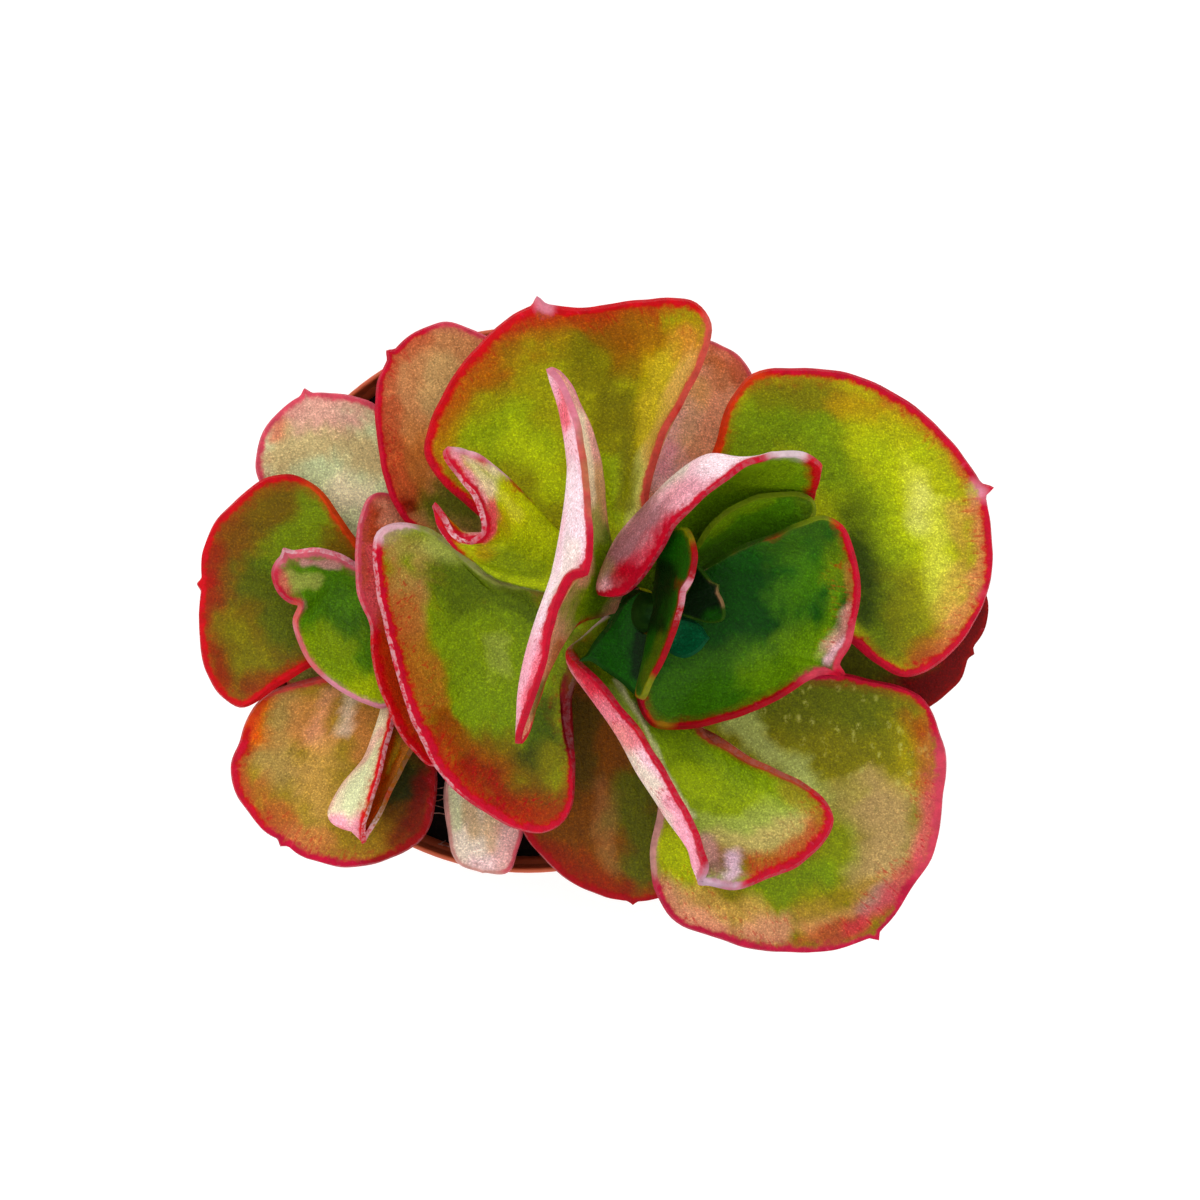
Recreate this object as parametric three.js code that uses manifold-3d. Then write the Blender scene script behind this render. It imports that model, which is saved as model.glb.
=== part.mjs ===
// A large two-headed echeveria growing in a thin plastic nursery pot.
// Millimetres, +Z up. The origin is the middle of the pot's flat underside.
// East is +X and north is +Y.
import * as THREE from 'three';
import Module from 'manifold-3d';

// Driving sizes of the pot and its soil
const POT_HEIGHT = 115;
const RIM_RADIUS = 68.3;
const WALL = 1.2;
const COLLAR_HEIGHT = 14;
const COLLAR_STEP = 1.6;
const COLLAR_SLOPE = 1;
const FOOT_RADIUS = 49;
const FLOOR = 2;
const CORNER = 2.5;
const HOLE_RADIUS = 5;
const HOLE_CIRCLE = 35;
const HOLE_COUNT = 6;
const HOLE_SIDES = 12;
const HOLE_OVERCUT = 1;
const POT_SIDES = 44;
const SOIL_BELOW_RIM = 12;
const SOIL_EDGE_WIDTH = 3;
const SOIL_EDGE_DROP = 1;
const GAP = 0.3;
const STEM_GAP = 0.4;

// Driving sizes of the two stems: foot and top as [x, y, height above the rim]
const MAIN_STEM = { foot: [13, -3, -26], top: [31.5, -3, 44], footRadius: 8, topRadius: 5 };
const OFFSET_STEM = { foot: [-19, -4, -24], top: [-29.5, -5, 8.5], footRadius: 6, topRadius: 4 };
const STEM_SIDES = 16;
const STEM_RINGS = 6;
const DOME_START = 0.85;
const DOME_LEAST = 0.12;

// The outlines below were read straight down from this eye point, which fixes how
// a height above the rim pulls an outline point towards the middle of the view.
const EYE_X = 18;
const EYE_HEIGHT = 700;

// Leaf mesh: steps from base to tip, and steps from midrib to margin
const ALONG = 12;
const ACROSS = 3;
const LEAF_THICKNESS = 6;
const BASE_SWELL = 1.15;
const TIP_THIN = 0.6;
const THICK_OF_WIDTH = 0.5;
const CUP = 2.5;
const CUP_REACH = 1.1;
const FOLD_CLOSES = 0.8;

// Colours and surface roughness
const POT_LOOK = { color: 0xc4552c, roughness: 0.5 };
const SOIL_LOOK = { color: 0x17110d, roughness: 0.95 };
const STEM_LOOK = { color: 0x7c6a4a, roughness: 0.7 };
const LEAF_ROUGHNESS = 0.45;

// Every point is [x, y, height above the rim]. Margins and midrib run from the base
// to the tip. A "fold" is the line half-way from the midrib to the margin on its side,
// given only where the blade is folded or rolled; elsewhere the blade is a shallow cup.
const LEAVES = {
  leaf_south_narrow: {
    left: [[14, -14, -2], [9, -25, -1], [4, -40, 1], [0, -52, 4], [-2.2, -61, 6.5], [-5, -68, 7.5],
      [-11.3, -70, 7.5]],
    rib: [[13, -8, -2], [1, -28, -1.5], [-7, -44, 0.5], [-10.5, -58, 4], [-11.2, -66, 6.5]],
    right: [[8, -10, -1], [-6, -20, 0.5], [-15, -32, 2.5], [-20.5, -45, 5], [-20.3, -56, 6.5],
      [-18, -65, 7.5], [-11.3, -70, 7.5]],
    color: 0xd8c0a6, cup: 0.5, thickness: 3.4,
  },
  leaf_south_low: {
    left: [[24, -12, 4], [31, -24, 6], [38, -38, 8], [42, -52, 9.5], [41, -64, 10], [36, -72.5, 10],
      [31, -75.5, 9.5], [26.5, -77.4, 9]],
    rib: [[18, -8, 4], [19, -25, 5], [19.5, -40, 6], [20.5, -55, 7.5], [24, -68, 8.5]],
    right: [[12, -10, 5], [5, -20, 8], [-1, -33, 10], [-3.5, -46, 12], [-1, -58, 12], [6.3, -67, 11],
      [12.9, -71.6, 10], [20, -74.5, 9.5], [26.5, -77.4, 9]],
    color: 0x6b3f1c, cup: 1,
  },
  leaf_east_low: {
    left: [[25, 1, 7.8], [40, 11, 11], [60, 20, 14], [80, 22, 14], [98, 18, 14], [110, 9, 13],
      [114.8, 0, 12.5], [114, -7.8, 12], [111.5, -13.5, 11.5]],
    rib: [[22, -4, 5.6], [42, -4, 6.8], [62, -5, 8.5], [84, -7, 10], [101, -10, 11]],
    right: [[23, -10, 5.4], [38, -20, 7.2], [56, -27, 9.6], [76, -31, 11.5], [92, -30.5, 12], [102, -25.5, 12],
      [108, -20, 12], [111.5, -13.5, 11.5]],
    color: 0x6b2a10, thickness: 5.2,
  },
  leaf_north_low: {
    left: [[17, 4, 4], [20, 20, 8], [21, 36, 11], [24, 50, 12.5], [31, 60, 13], [38, 65.5, 13], [44, 66.5, 12.5]],
    rib: [[21, 2, 3.5], [29, 20, 5], [36, 36, 7], [41, 50, 9], [43, 60, 10.5]],
    right: [[26, 4, 4], [38, 16, 7.5], [49, 28, 10], [56, 42, 12], [57.3, 52, 13], [53, 60.5, 13],
      [48, 64.3, 12.5], [44, 66.5, 12.5]],
    color: 0xc09a5c,
  },
  leaf_west_under: {
    left: [[13, -9, 8], [4, -20, 12], [-8, -32, 16], [-18, -39, 19], [-24, -41.3, 21], [-29.3, -36.5, 23],
      [-33.5, -30, 24.5], [-37.4, -20, 26], [-39.5, -11, 27], [-40.8, -6, 28]],
    rib: [[15, -3, 7], [-2, -4, 9], [-16, -5, 13], [-29, -5.5, 20]],
    right: [[12, 3, 5.7], [-2, 11, 7.6], [-16, 18, 9.8], [-27, 23.5, 14], [-34, 26.5, 17], [-38.5, 26.5, 20],
      [-41.5, 22, 24], [-42.9, 11.8, 26], [-42.4, 2, 27], [-40.8, -6, 28]],
    color: 0x9c3a1c, thickness: 4.8,
  },
  leaf_northwest_low: {
    left: [[10, -2, 12.6], [-8, 6, 17], [-20, 13, 20], [-29.6, 19, 22.5], [-33.9, 25, 24], [-37.4, 40, 25],
      [-38, 50, 25], [-36.8, 56.8, 24], [-35.2, 62.3, 23]],
    rib: [[17, 1.5, 11], [2, 16, 11.5], [-10, 31, 13], [-20, 45, 15], [-28, 56, 18]],
    right: [[19, 6, 12], [12, 22, 12.5], [8, 38, 14], [2, 54, 16], [-6, 63, 18], [-12.6, 67, 20],
      [-19.6, 69.4, 21.5], [-25, 68.3, 22.5], [-30, 65.9, 23], [-35.2, 62.3, 23]],
    color: 0x9c5a2c, thickness: 4.8,
  },
  leaf_southeast_broad: {
    left: [[30, -8, 13], [48, -14, 16], [62, -17.5, 19], [73.7, -18.4, 21], [80.5, -18.8, 22],
      [87.4, -20.5, 23], [93.6, -22, 24], [98.6, -25, 24], [102, -30.5, 24.5], [104.4, -40, 24],
      [103.6, -50, 22], [101.8, -62.5, 20], [94, -75, 18], [87.7, -85, 17]],
    rib: [[27, -8, 12], [41, -28, 13], [54, -46, 14], [68, -62, 16], [79, -75, 17]],
    right: [[24, -12, 14], [27, -26, 17], [31, -40, 19], [33, -52, 21], [31.2, -61, 22], [31, -67, 22.5],
      [33, -75, 22], [38, -81, 22], [46, -84, 21], [55, -86.8, 20], [65, -88, 19], [75.6, -87.7, 18],
      [82, -86, 17.5], [87.7, -85, 17]],
    color: 0x8c8a1e,
  },
  leaf_east_broad: {
    left: [[28, 5, 18], [38, 20, 24], [44, 31, 29], [47, 38, 32], [50.4, 49, 36], [56.2, 56.2, 38],
      [66.9, 57.6, 38], [77, 57, 37], [88, 53.5, 36], [97, 48, 35], [105.5, 40, 34], [111, 33, 33],
      [116, 28, 32]],
    rib: [[27, 0, 17], [52, 8, 17], [70, 15, 19], [88, 21, 24], [104, 26, 29]],
    right: [[30, -6, 17], [50, -8, 19], [66, -8, 23], [81.2, -10.5, 28], [88, -16, 31], [95.3, -19, 32],
      [103, -15.5, 32], [109, -9, 31], [114.8, 1.7, 30.5], [116.2, 10, 30.5], [115.5, 20, 31], [116, 28, 32]],
    color: 0x9aa51c,
  },
  leaf_north_broad: {
    left: [[14, 4, 20], [0, 13, 25], [-13, 22, 30], [-21, 29, 33], [-25.5, 36, 35], [-25, 42, 36],
      [-20, 53, 38], [-11, 65, 40], [-4, 70.7, 41], [2.4, 75, 42]],
    rib: [[22, 2, 19], [18, 20, 20], [14, 38, 24], [9, 54, 30], [5, 66, 36]],
    rightFold: [[24.5, 7, 19], [25, 25, 20], [26, 40, 23], [24, 55, 29], [17, 66, 35]],
    right: [[27, 5, 19], [29.5, 20, 24], [30, 29, 29], [33.5, 41, 34], [39.4, 51.8, 38], [43.5, 60, 41],
      [45.4, 69, 43], [42, 74.2, 44], [35, 75.1, 44], [24, 74.2, 43.5], [12, 72.5, 43], [2.4, 75, 42]],
    color: 0x8a7c18,
  },
  leaf_southwest_broad: {
    left: [[18, -8.5, 22], [11.5, -20, 22.5], [9.6, -28, 23], [11, -38, 25], [11.4, -47, 27], [9.3, -55, 29],
      [3.8, -58.1, 30], [-2.9, -57, 31], [-10, -53.4, 32], [-17.4, -48, 33], [-23, -41.5, 34],
      [-27.1, -35.5, 35]],
    rib: [[21, -3, 22], [2, -8, 21], [-8, -15, 22], [-17, -24, 25], [-23, -31, 30]],
    right: [[18, 2.5, 22.5], [-4, 4, 26], [-13, 8, 30], [-20, 14.5, 33], [-28, 18.5, 35], [-34, 19, 37],
      [-38, 16.5, 38.5], [-38.3, 9.4, 39], [-37.2, 1.3, 39], [-35, -9, 38], [-32, -20, 37], [-29, -30, 36],
      [-27.1, -35.5, 35]],
    color: 0x70751a,
  },
  leaf_west_curled: {
    left: [[21, -2.5, 28], [4, 2, 30], [-8, 5.5, 33], [-15, 11, 37], [-19.5, 14.5, 41], [-23, 20, 45],
      [-23.6, 24, 47], [-21, 20.5, 47], [-18.5, 16.2, 48], [-15, 14.7, 49], [-12, 17, 50]],
    leftFold: [[22, 0, 27.5], [6, 6, 31], [-5, 9, 36], [-12, 13, 41], [-16, 15, 44], [-15, 15.5, 47],
      [-11.5, 16, 49]],
    rib: [[23, 2, 27], [9, 9, 32], [0, 13, 37], [-6, 15.5, 43], [-10, 16.5, 48]],
    rightFold: [[22, 4.5, 27], [9, 13, 32], [0, 20, 37], [-7, 27, 42], [-12, 31, 46], [-11.5, 25, 49],
      [-10.5, 18, 50]],
    right: [[20.5, 7, 27.5], [12, 13, 29], [4, 20, 32], [-1, 26, 36], [-8, 33, 42], [-15, 37.5, 47],
      [-20.5, 38, 49], [-20.8, 35.5, 51], [-17, 30.5, 52], [-13.4, 26, 52], [-11.8, 20, 51], [-12, 17, 50]],
    color: 0x9aae20, thickness: 3.6,
  },
  leaf_northeast_folded: {
    left: [[25, 7, 29], [25.5, 8.5, 36], [22.5, 6, 43], [18.7, 2.5, 46], [18.3, 1.2, 50], [20.8, 0.9, 53],
      [24, 1.5, 55], [28.7, 6, 58], [32.8, 12, 61], [37, 19, 64], [42.4, 24.6, 66], [48.6, 29.6, 67],
      [54, 34, 67], [61, 36.5, 66]],
    leftFold: [[26, 6, 28], [26, 10.5, 36], [22.3, 7, 44], [23.5, 14, 46], [30, 22, 49], [37, 29.5, 52],
      [44, 34.5, 55], [52, 36.5, 59], [58, 37, 62]],
    rib: [[27, 3, 27], [34, 13, 31], [42, 22, 36], [49, 28, 41], [57, 33, 49]],
    right: [[30, 1, 27], [40, 5, 27], [52, 9, 28], [63, 14, 31], [70, 20, 38], [71.5, 25, 45],
      [73, 30, 55], [73.2, 33.6, 62], [70.3, 35.8, 64], [66, 36.8, 66], [61, 36.5, 66]],
    color: 0x2e5a14, thickness: 4.8,
  },
  leaf_south_folded: {
    left: [[30, -9, 24], [36, -20, 26], [40.5, -28, 30], [44.6, -33, 34], [49.5, -36.4, 38],
      [55.7, -40, 41], [62.4, -43, 43], [68.6, -46, 45], [73.6, -50, 46], [75.9, -55, 47],
      [73.5, -60.5, 47], [67, -66.4, 48], [60, -69.3, 49], [52, -72, 50], [47, -71.7, 51], [43.3, -71.2, 51]],
    leftFold: [[27, -8, 24], [33, -22, 27], [40, -33, 31], [46, -41, 34], [53, -48, 37], [57, -55, 40],
      [53, -62, 44], [46, -68, 48]],
    rib: [[25, -7, 25], [29.5, -25, 31], [34, -38, 36], [39, -52, 40], [42.5, -64, 46]],
    rightFold: [[19, -8, 28], [15, -16, 36], [19, -24, 40], [24.5, -33, 44], [29, -42, 46],
      [34, -50, 48], [38.5, -58, 48], [41.8, -66, 49]],
    right: [[20, -4, 28], [15, -8, 32], [10.5, -12.2, 38], [12, -15, 44], [17, -19.5, 48], [22.5, -26, 51],
      [28, -33, 54], [32, -40, 56], [36.5, -47.5, 58], [40, -54, 58], [43, -61, 56], [44.7, -67, 53],
      [43.3, -71.2, 51]],
    color: 0xa4a83a,
  },
  leaf_west_upright: {
    left: [[23, -3, 34], [17, -4.5, 38], [12, -7, 45], [8, -12, 50], [4.5, -19, 56], [1.5, -27, 62],
      [-0.5, -34, 67], [-2.5, -36, 70], [-1.5, -31, 74], [1.2, -24, 78], [4, -16, 81], [6, -7, 83],
      [8, 1, 85], [11, 6.3, 86], [14.5, 7, 86]],
    leftFold: [[23.5, 0, 33], [15.5, -1, 40], [8.5, -5.5, 50], [4, -10.5, 59], [0.7, -16, 66], [2.4, -12, 73],
      [5, -3, 79], [11, 5, 84]],
    rib: [[24, 3, 32], [13.5, 4, 46], [8.3, 5, 58], [8.8, 6, 70], [12.2, 7, 80]],
    rightFold: [[24, 5, 33], [17.5, 12, 40], [13.8, 21, 50], [12.4, 28, 59], [11.8, 33, 66], [12.4, 30, 73],
      [13.2, 21, 79], [14, 11, 84]],
    right: [[22.5, 6.5, 33.5], [20, 14.5, 37], [19, 25, 42], [18, 34, 48], [15.5, 43, 55], [12, 51, 61],
      [8, 57, 66], [5, 58, 70], [7.5, 55.5, 74], [10.5, 49, 77], [12.8, 41, 80], [14.2, 31, 83],
      [15.4, 20, 85], [15.6, 12, 86], [14.5, 7, 86]],
    color: 0xe8b8c0, thickness: 5,
  },
  leaf_east_dish: {
    left: [[33, 0, 37], [38, 4, 41], [47.4, 10, 46], [55, 13.8, 49], [62, 16.6, 52], [68, 19, 54],
      [74, 20.9, 55], [78.5, 18.5, 55], [81.3, 11, 55], [82.8, 4, 54], [81.8, -4, 53], [80.6, -10.7, 52],
      [78.5, -15, 51], [78.3, -18.3, 50]],
    rib: [[31, -5, 36], [42, -9, 35], [52, -11, 36], [62, -13, 38], [71, -16, 43]],
    right: [[30, -10, 36], [27.8, -19, 38], [28, -26.5, 40], [31.5, -31.4, 41], [38, -32, 42],
      [44, -31, 44], [50, -29.5, 45], [56, -27.5, 46], [62, -24.7, 47], [70, -19.7, 48], [74, -18.4, 49],
      [78.3, -18.3, 50]],
    color: 0x1f5a14, cup: 3.5, thickness: 5,
  },
  leaf_northeast_inner: {
    left: [[31, 4, 35], [38, 10, 40], [42, 13.4, 43.5], [45.3, 18, 46], [50.3, 22.3, 48], [56.9, 25.6, 49.2],
      [63.5, 27.5, 50], [68, 27.6, 51], [71.2, 25.8, 51], [72.2, 22.5, 50.5], [71.5, 19, 50]],
    rib: [[33, 1, 33.5], [44, 9, 34], [54, 14, 37], [62, 17.5, 42], [67, 19, 46]],
    right: [[34, -2, 33], [45, 2, 32.1], [55, 4, 33.5], [62, 8, 37], [67, 12.5, 43], [70, 15.5, 47.5],
      [71.5, 19, 50]],
    color: 0x2c5c16, thickness: 3.4,
  },
  leaf_heart_west: {
    left: [[31, -8, 44], [29.5, -16, 45], [27.8, -23.5, 46], [24, -20.5, 47], [19, -17, 48], [15, -15.3, 49],
      [13, -15, 49.5]],
    rib: [[30, -3, 43.5], [25, -8, 43.5], [20, -12, 45.5], [16, -14, 48]],
    right: [[28, 2, 44], [24, -1, 45], [21, -5.5, 46], [17, -10.5, 48], [14, -14, 49], [13, -15, 49.5]],
    color: 0x20460e, cup: 0.8, thickness: 2.8,
  },
  leaf_heart_side: {
    left: [[33.5, -3.5, 42], [39, -5, 43], [43, -6.5, 45], [46, -9.3, 47]],
    rib: [[32.3, -5.5, 41.3], [38, -9, 42], [42, -10, 44]],
    right: [[32, -8, 42], [36, -13, 44], [39, -14, 45.5], [43, -12.5, 46.5], [46, -9.3, 47]],
    color: 0x2f6c52, cup: 0.8, thickness: 2.4,
  },
  leaf_heart_small: {
    left: [[33, 2, 43.5], [37, 7, 46.5], [41, 9.3, 49], [44.5, 7, 51], [47.8, 3.9, 52.5]],
    rib: [[33.5, -0.5, 43], [38.5, 1.5, 46], [43, 2.3, 49.3]],
    right: [[35, -2.8, 43.5], [40, -4.5, 46.5], [45, -5.8, 49], [48.8, -4.8, 51], [49.2, -1, 52],
      [47.8, 3.9, 52.5]],
    color: 0x12300c, cup: 0.5, thickness: 2.2,
  },
  leaf_heart_tall: {
    left: [[33, 1, 46], [33, 9, 49], [34, 15, 54], [36.6, 17.6, 58], [39.5, 18, 63], [41.3, 14, 67],
      [41.8, 10, 70], [41, 6, 72], [38.8, 2.6, 73]],
    rib: [[32, -3, 45], [34.5, -1.5, 54], [37, 0, 62], [38.3, 2, 69]],
    right: [[32, -6, 46], [30.5, -12, 49], [28.5, -19, 54], [27.5, -24, 58], [28.5, -24.6, 61],
      [31.6, -19, 64], [34.5, -13, 67], [37, -6, 70], [38.3, -1, 72], [38.8, 2.6, 73]],
    color: 0x3a3c10, cup: 0.5, thickness: 3.2,
  },
  offset_leaf_north: {
    left: [[-33, 0, -1], [-48, 12, 1], [-60, 20, 5], [-67, 30, 8], [-67.6, 37, 9], [-65.8, 42.8, 10],
      [-61, 48.5, 10.5], [-56, 52.8, 11]],
    rib: [[-28, -1, -1], [-42, 16, 1], [-49, 30, 4], [-53, 42, 8]],
    right: [[-25, 2, -1], [-31, 18, 3], [-32.5, 32, 6], [-34, 42, 8], [-38.5, 48.8, 9.5],
      [-44.6, 51, 10.5], [-50, 51.8, 11], [-56, 52.8, 11]],
    color: 0xc6c48a, cup: 1.8, thickness: 4.8,
  },
  offset_leaf_west: {
    left: [[-33, -6, 4], [-46, -13, 8], [-54.4, -16.3, 11], [-61.5, -20.6, 12.5], [-68.2, -25.2, 13.5],
      [-72.3, -26.5, 14], [-76.5, -24, 14], [-80.7, -17, 14], [-82.2, -8, 14], [-82.4, -1, 14], [-83.3, 4.1, 14]],
    rib: [[-30, -3, 4], [-48, 0, 6], [-60, 1, 8.5], [-72, 2.5, 11.5]],
    right: [[-31, 1, 4.5], [-43, 14.5, 9], [-47.4, 21, 11], [-53, 28, 13], [-59.8, 31.2, 14], [-66, 30, 14.5],
      [-72, 25.6, 14.5], [-77.7, 20, 14.5], [-81, 13, 14.5], [-83.3, 4.1, 14]],
    color: 0x6e5a10, thickness: 4.6,
  },
  offset_leaf_south: {
    left: [[-24, -9, -1], [-24.5, -22, 1.5], [-23.5, -33, 4], [-23, -42, 6], [-23.3, -50, 7.5], [-25, -57, 9],
      [-29, -61.5, 10], [-37.5, -65.5, 11], [-46, -66.6, 11.5], [-55.9, -64.5, 12], [-62.3, -62.2, 12]],
    rib: [[-27, -6, -1], [-38, -22, 1], [-47, -36, 4], [-55, -50, 8]],
    right: [[-31, -6, -1], [-43, -14, 1.5], [-52, -19.3, 4.5], [-61.5, -22, 7], [-67.7, -26, 8.5],
      [-70.5, -31, 9.5], [-72, -35.5, 10.5], [-74.3, -41, 11], [-72.3, -49.7, 12], [-67, -56.8, 12],
      [-62.3, -62.2, 12]],
    color: 0x98702a, cup: 1.5,
  },
  offset_leaf_low: {
    left: [[-27, -9, -6], [-40, -18, -5], [-52, -23, -3], [-59.5, -22.5, -1.5], [-62.5, -18.5, -1.5]],
    rib: [[-26, -5, -6], [-40, -11, -5], [-54, -16, -3]],
    right: [[-27, -1, -6], [-44, -6, -4], [-56, -9, -2.5], [-60.5, -13, -1.5], [-62.5, -18.5, -1.5]],
    color: 0xb8bc84, cup: 0.8, thickness: 3,
  },
  offset_leaf_folded: {
    left: [[-26.5, -9, 8], [-27, -25, 12], [-29, -37, 17], [-33.5, -46, 21], [-38, -55, 24.5],
      [-40.9, -60.9, 26]],
    leftFold: [[-28, -7.5, 6], [-30, -27, 8.5], [-33.5, -39, 12], [-38, -49, 15.5], [-41, -57, 20.5]],
    rib: [[-29.5, -6, 5], [-33.3, -27, 6.3], [-36.8, -40, 9], [-41.8, -50, 12.5], [-44.5, -56, 17.5]],
    rightFold: [[-31.5, -7.5, 6.5], [-35, -25, 9], [-37.8, -34, 12.5], [-40.5, -40.5, 15], [-46, -47, 18],
      [-49.5, -54.5, 20], [-47.8, -60.5, 22], [-44, -61.2, 24]],
    right: [[-31, -9.5, 7.3], [-32.2, -18, 9], [-33, -25, 13], [-33.9, -30, 17], [-35, -35, 20.5], [-37, -43, 25.5],
      [-39, -50, 29], [-41, -56, 29], [-40.9, -60.9, 26]],
    color: 0xd8d6b0, thickness: 2.6,
  },
  offset_leaf_inner: {
    left: [[-29, -9, 9], [-31, -18, 13], [-35.5, -26.8, 16], [-40, -26, 17], [-46.2, -22.7, 18],
      [-52.9, -17.6, 18], [-55.9, -13, 17.5], [-58.2, -5.3, 17.5], [-57, -1.3, 18], [-59.8, -0.3, 19],
      [-62.2, 1.7, 20], [-63.9, 6.5, 21.5], [-63, 9.8, 22], [-60.8, 12.3, 22]],
    rib: [[-30, -4, 9], [-40, 1, 10], [-48, 4, 12], [-56, 6.5, 16]],
    right: [[-30, 0, 10], [-37, 6, 13.5], [-43, 9, 17], [-48.6, 11.4, 20], [-54, 12.6, 22],
      [-60.8, 12.3, 22]],
    color: 0x4a9010, thickness: 3.4,
  },
};

// Ready-made helpers
const wasm = await Module();
wasm.setup();

const plant = new THREE.Group();

function addPiece(name, geometry, look) {
  const mesh = new THREE.Mesh(geometry, new THREE.MeshStandardMaterial({ ...look, metalness: 0 }));
  mesh.name = name;
  plant.add(mesh);
}

// A point of an outline, pulled towards the eye's axis by its height, in part millimetres
function place(point) {
  const [x, y, height] = point;
  const pull = 1 - height / EYE_HEIGHT;
  return new THREE.Vector3(EYE_X + (x - EYE_X) * pull, y * pull, POT_HEIGHT + height);
}

function smoothLine(points) {
  return new THREE.CatmullRomCurve3(points.map(place), false, 'centripetal');
}

function toSolid(geometry) {
  const position = geometry.attributes.position;
  const vertProperties = new Float32Array(position.array);
  const triVerts = new Uint32Array(geometry.index.array);
  return new wasm.Manifold(new wasm.Mesh({ numProp: 3, vertProperties, triVerts }));
}

function toGeometry(solid) {
  const mesh = solid.getMesh();
  const geometry = new THREE.BufferGeometry();
  geometry.setAttribute('position', new THREE.BufferAttribute(new Float32Array(mesh.vertProperties), 3));
  geometry.setIndex(new THREE.BufferAttribute(new Uint32Array(mesh.triVerts), 1));
  geometry.computeVertexNormals();
  return geometry;
}

// A closed stack of rings, each an array of points, with flat ends
function stack(rings) {
  const sides = rings[0].length;
  const points = rings.flat();
  const faces = [];
  for (let ring = 0; ring < rings.length - 1; ring += 1) {
    for (let side = 0; side < sides; side += 1) {
      const next = (side + 1) % sides;
      const low = ring * sides;
      const high = low + sides;
      faces.push(low + side, low + next, high + next, low + side, high + next, high + side);
    }
  }
  const last = (rings.length - 1) * sides;
  for (let side = 1; side < sides - 1; side += 1) {
    faces.push(0, side + 1, side);
    faces.push(last, last + side, last + side + 1);
  }
  const geometry = new THREE.BufferGeometry().setFromPoints(points);
  geometry.setIndex(faces);
  return geometry;
}

// A leaning tapered stem with a domed top, grown by "extra" all round
function stemGeometry(stem, extra) {
  const foot = place(stem.foot);
  const top = place(stem.top);
  foot.z -= extra;
  top.z += extra;
  const rings = [];
  for (let ring = 0; ring < STEM_RINGS; ring += 1) {
    const up = ring / (STEM_RINGS - 1);
    const overDome = Math.max(0, (up - DOME_START) / (1 - DOME_START));
    const dome = Math.sqrt(Math.max(DOME_LEAST, 1 - overDome ** 2));
    const radius = THREE.MathUtils.lerp(stem.footRadius, stem.topRadius, up) * dome + extra;
    const centre = foot.clone().lerp(top, up);
    const points = [];
    for (let side = 0; side < STEM_SIDES; side += 1) {
      const angle = (2 * Math.PI * side) / STEM_SIDES;
      points.push(new THREE.Vector3(
        centre.x + radius * Math.cos(angle),
        centre.y + radius * Math.sin(angle),
        centre.z,
      ));
    }
    rings.push(points);
  }
  return stack(rings);
}

// Half of a blade at "t" from base to tip and "s" from midrib to margin
function halfBlade(rib, fold, edge, cup) {
  return (t, s) => {
    const middle = rib.getPointAt(t);
    const margin = edge.getPointAt(t);
    const straight = middle.clone().lerp(margin, 0.5);
    const bend = fold ? fold.getPointAt(t) : straight.clone();
    if (!fold) bend.z -= cup * Math.sin(Math.PI * Math.min(1, t * CUP_REACH));
    const join = THREE.MathUtils.smoothstep(t, FOLD_CLOSES, 1);
    bend.lerp(straight, join);
    const first = middle.clone().multiplyScalar(2 * (s - 0.5) * (s - 1));
    const second = bend.multiplyScalar(-4 * s * (s - 1));
    const third = margin.multiplyScalar(2 * s * (s - 0.5));
    return first.add(second).add(third);
  };
}

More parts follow.
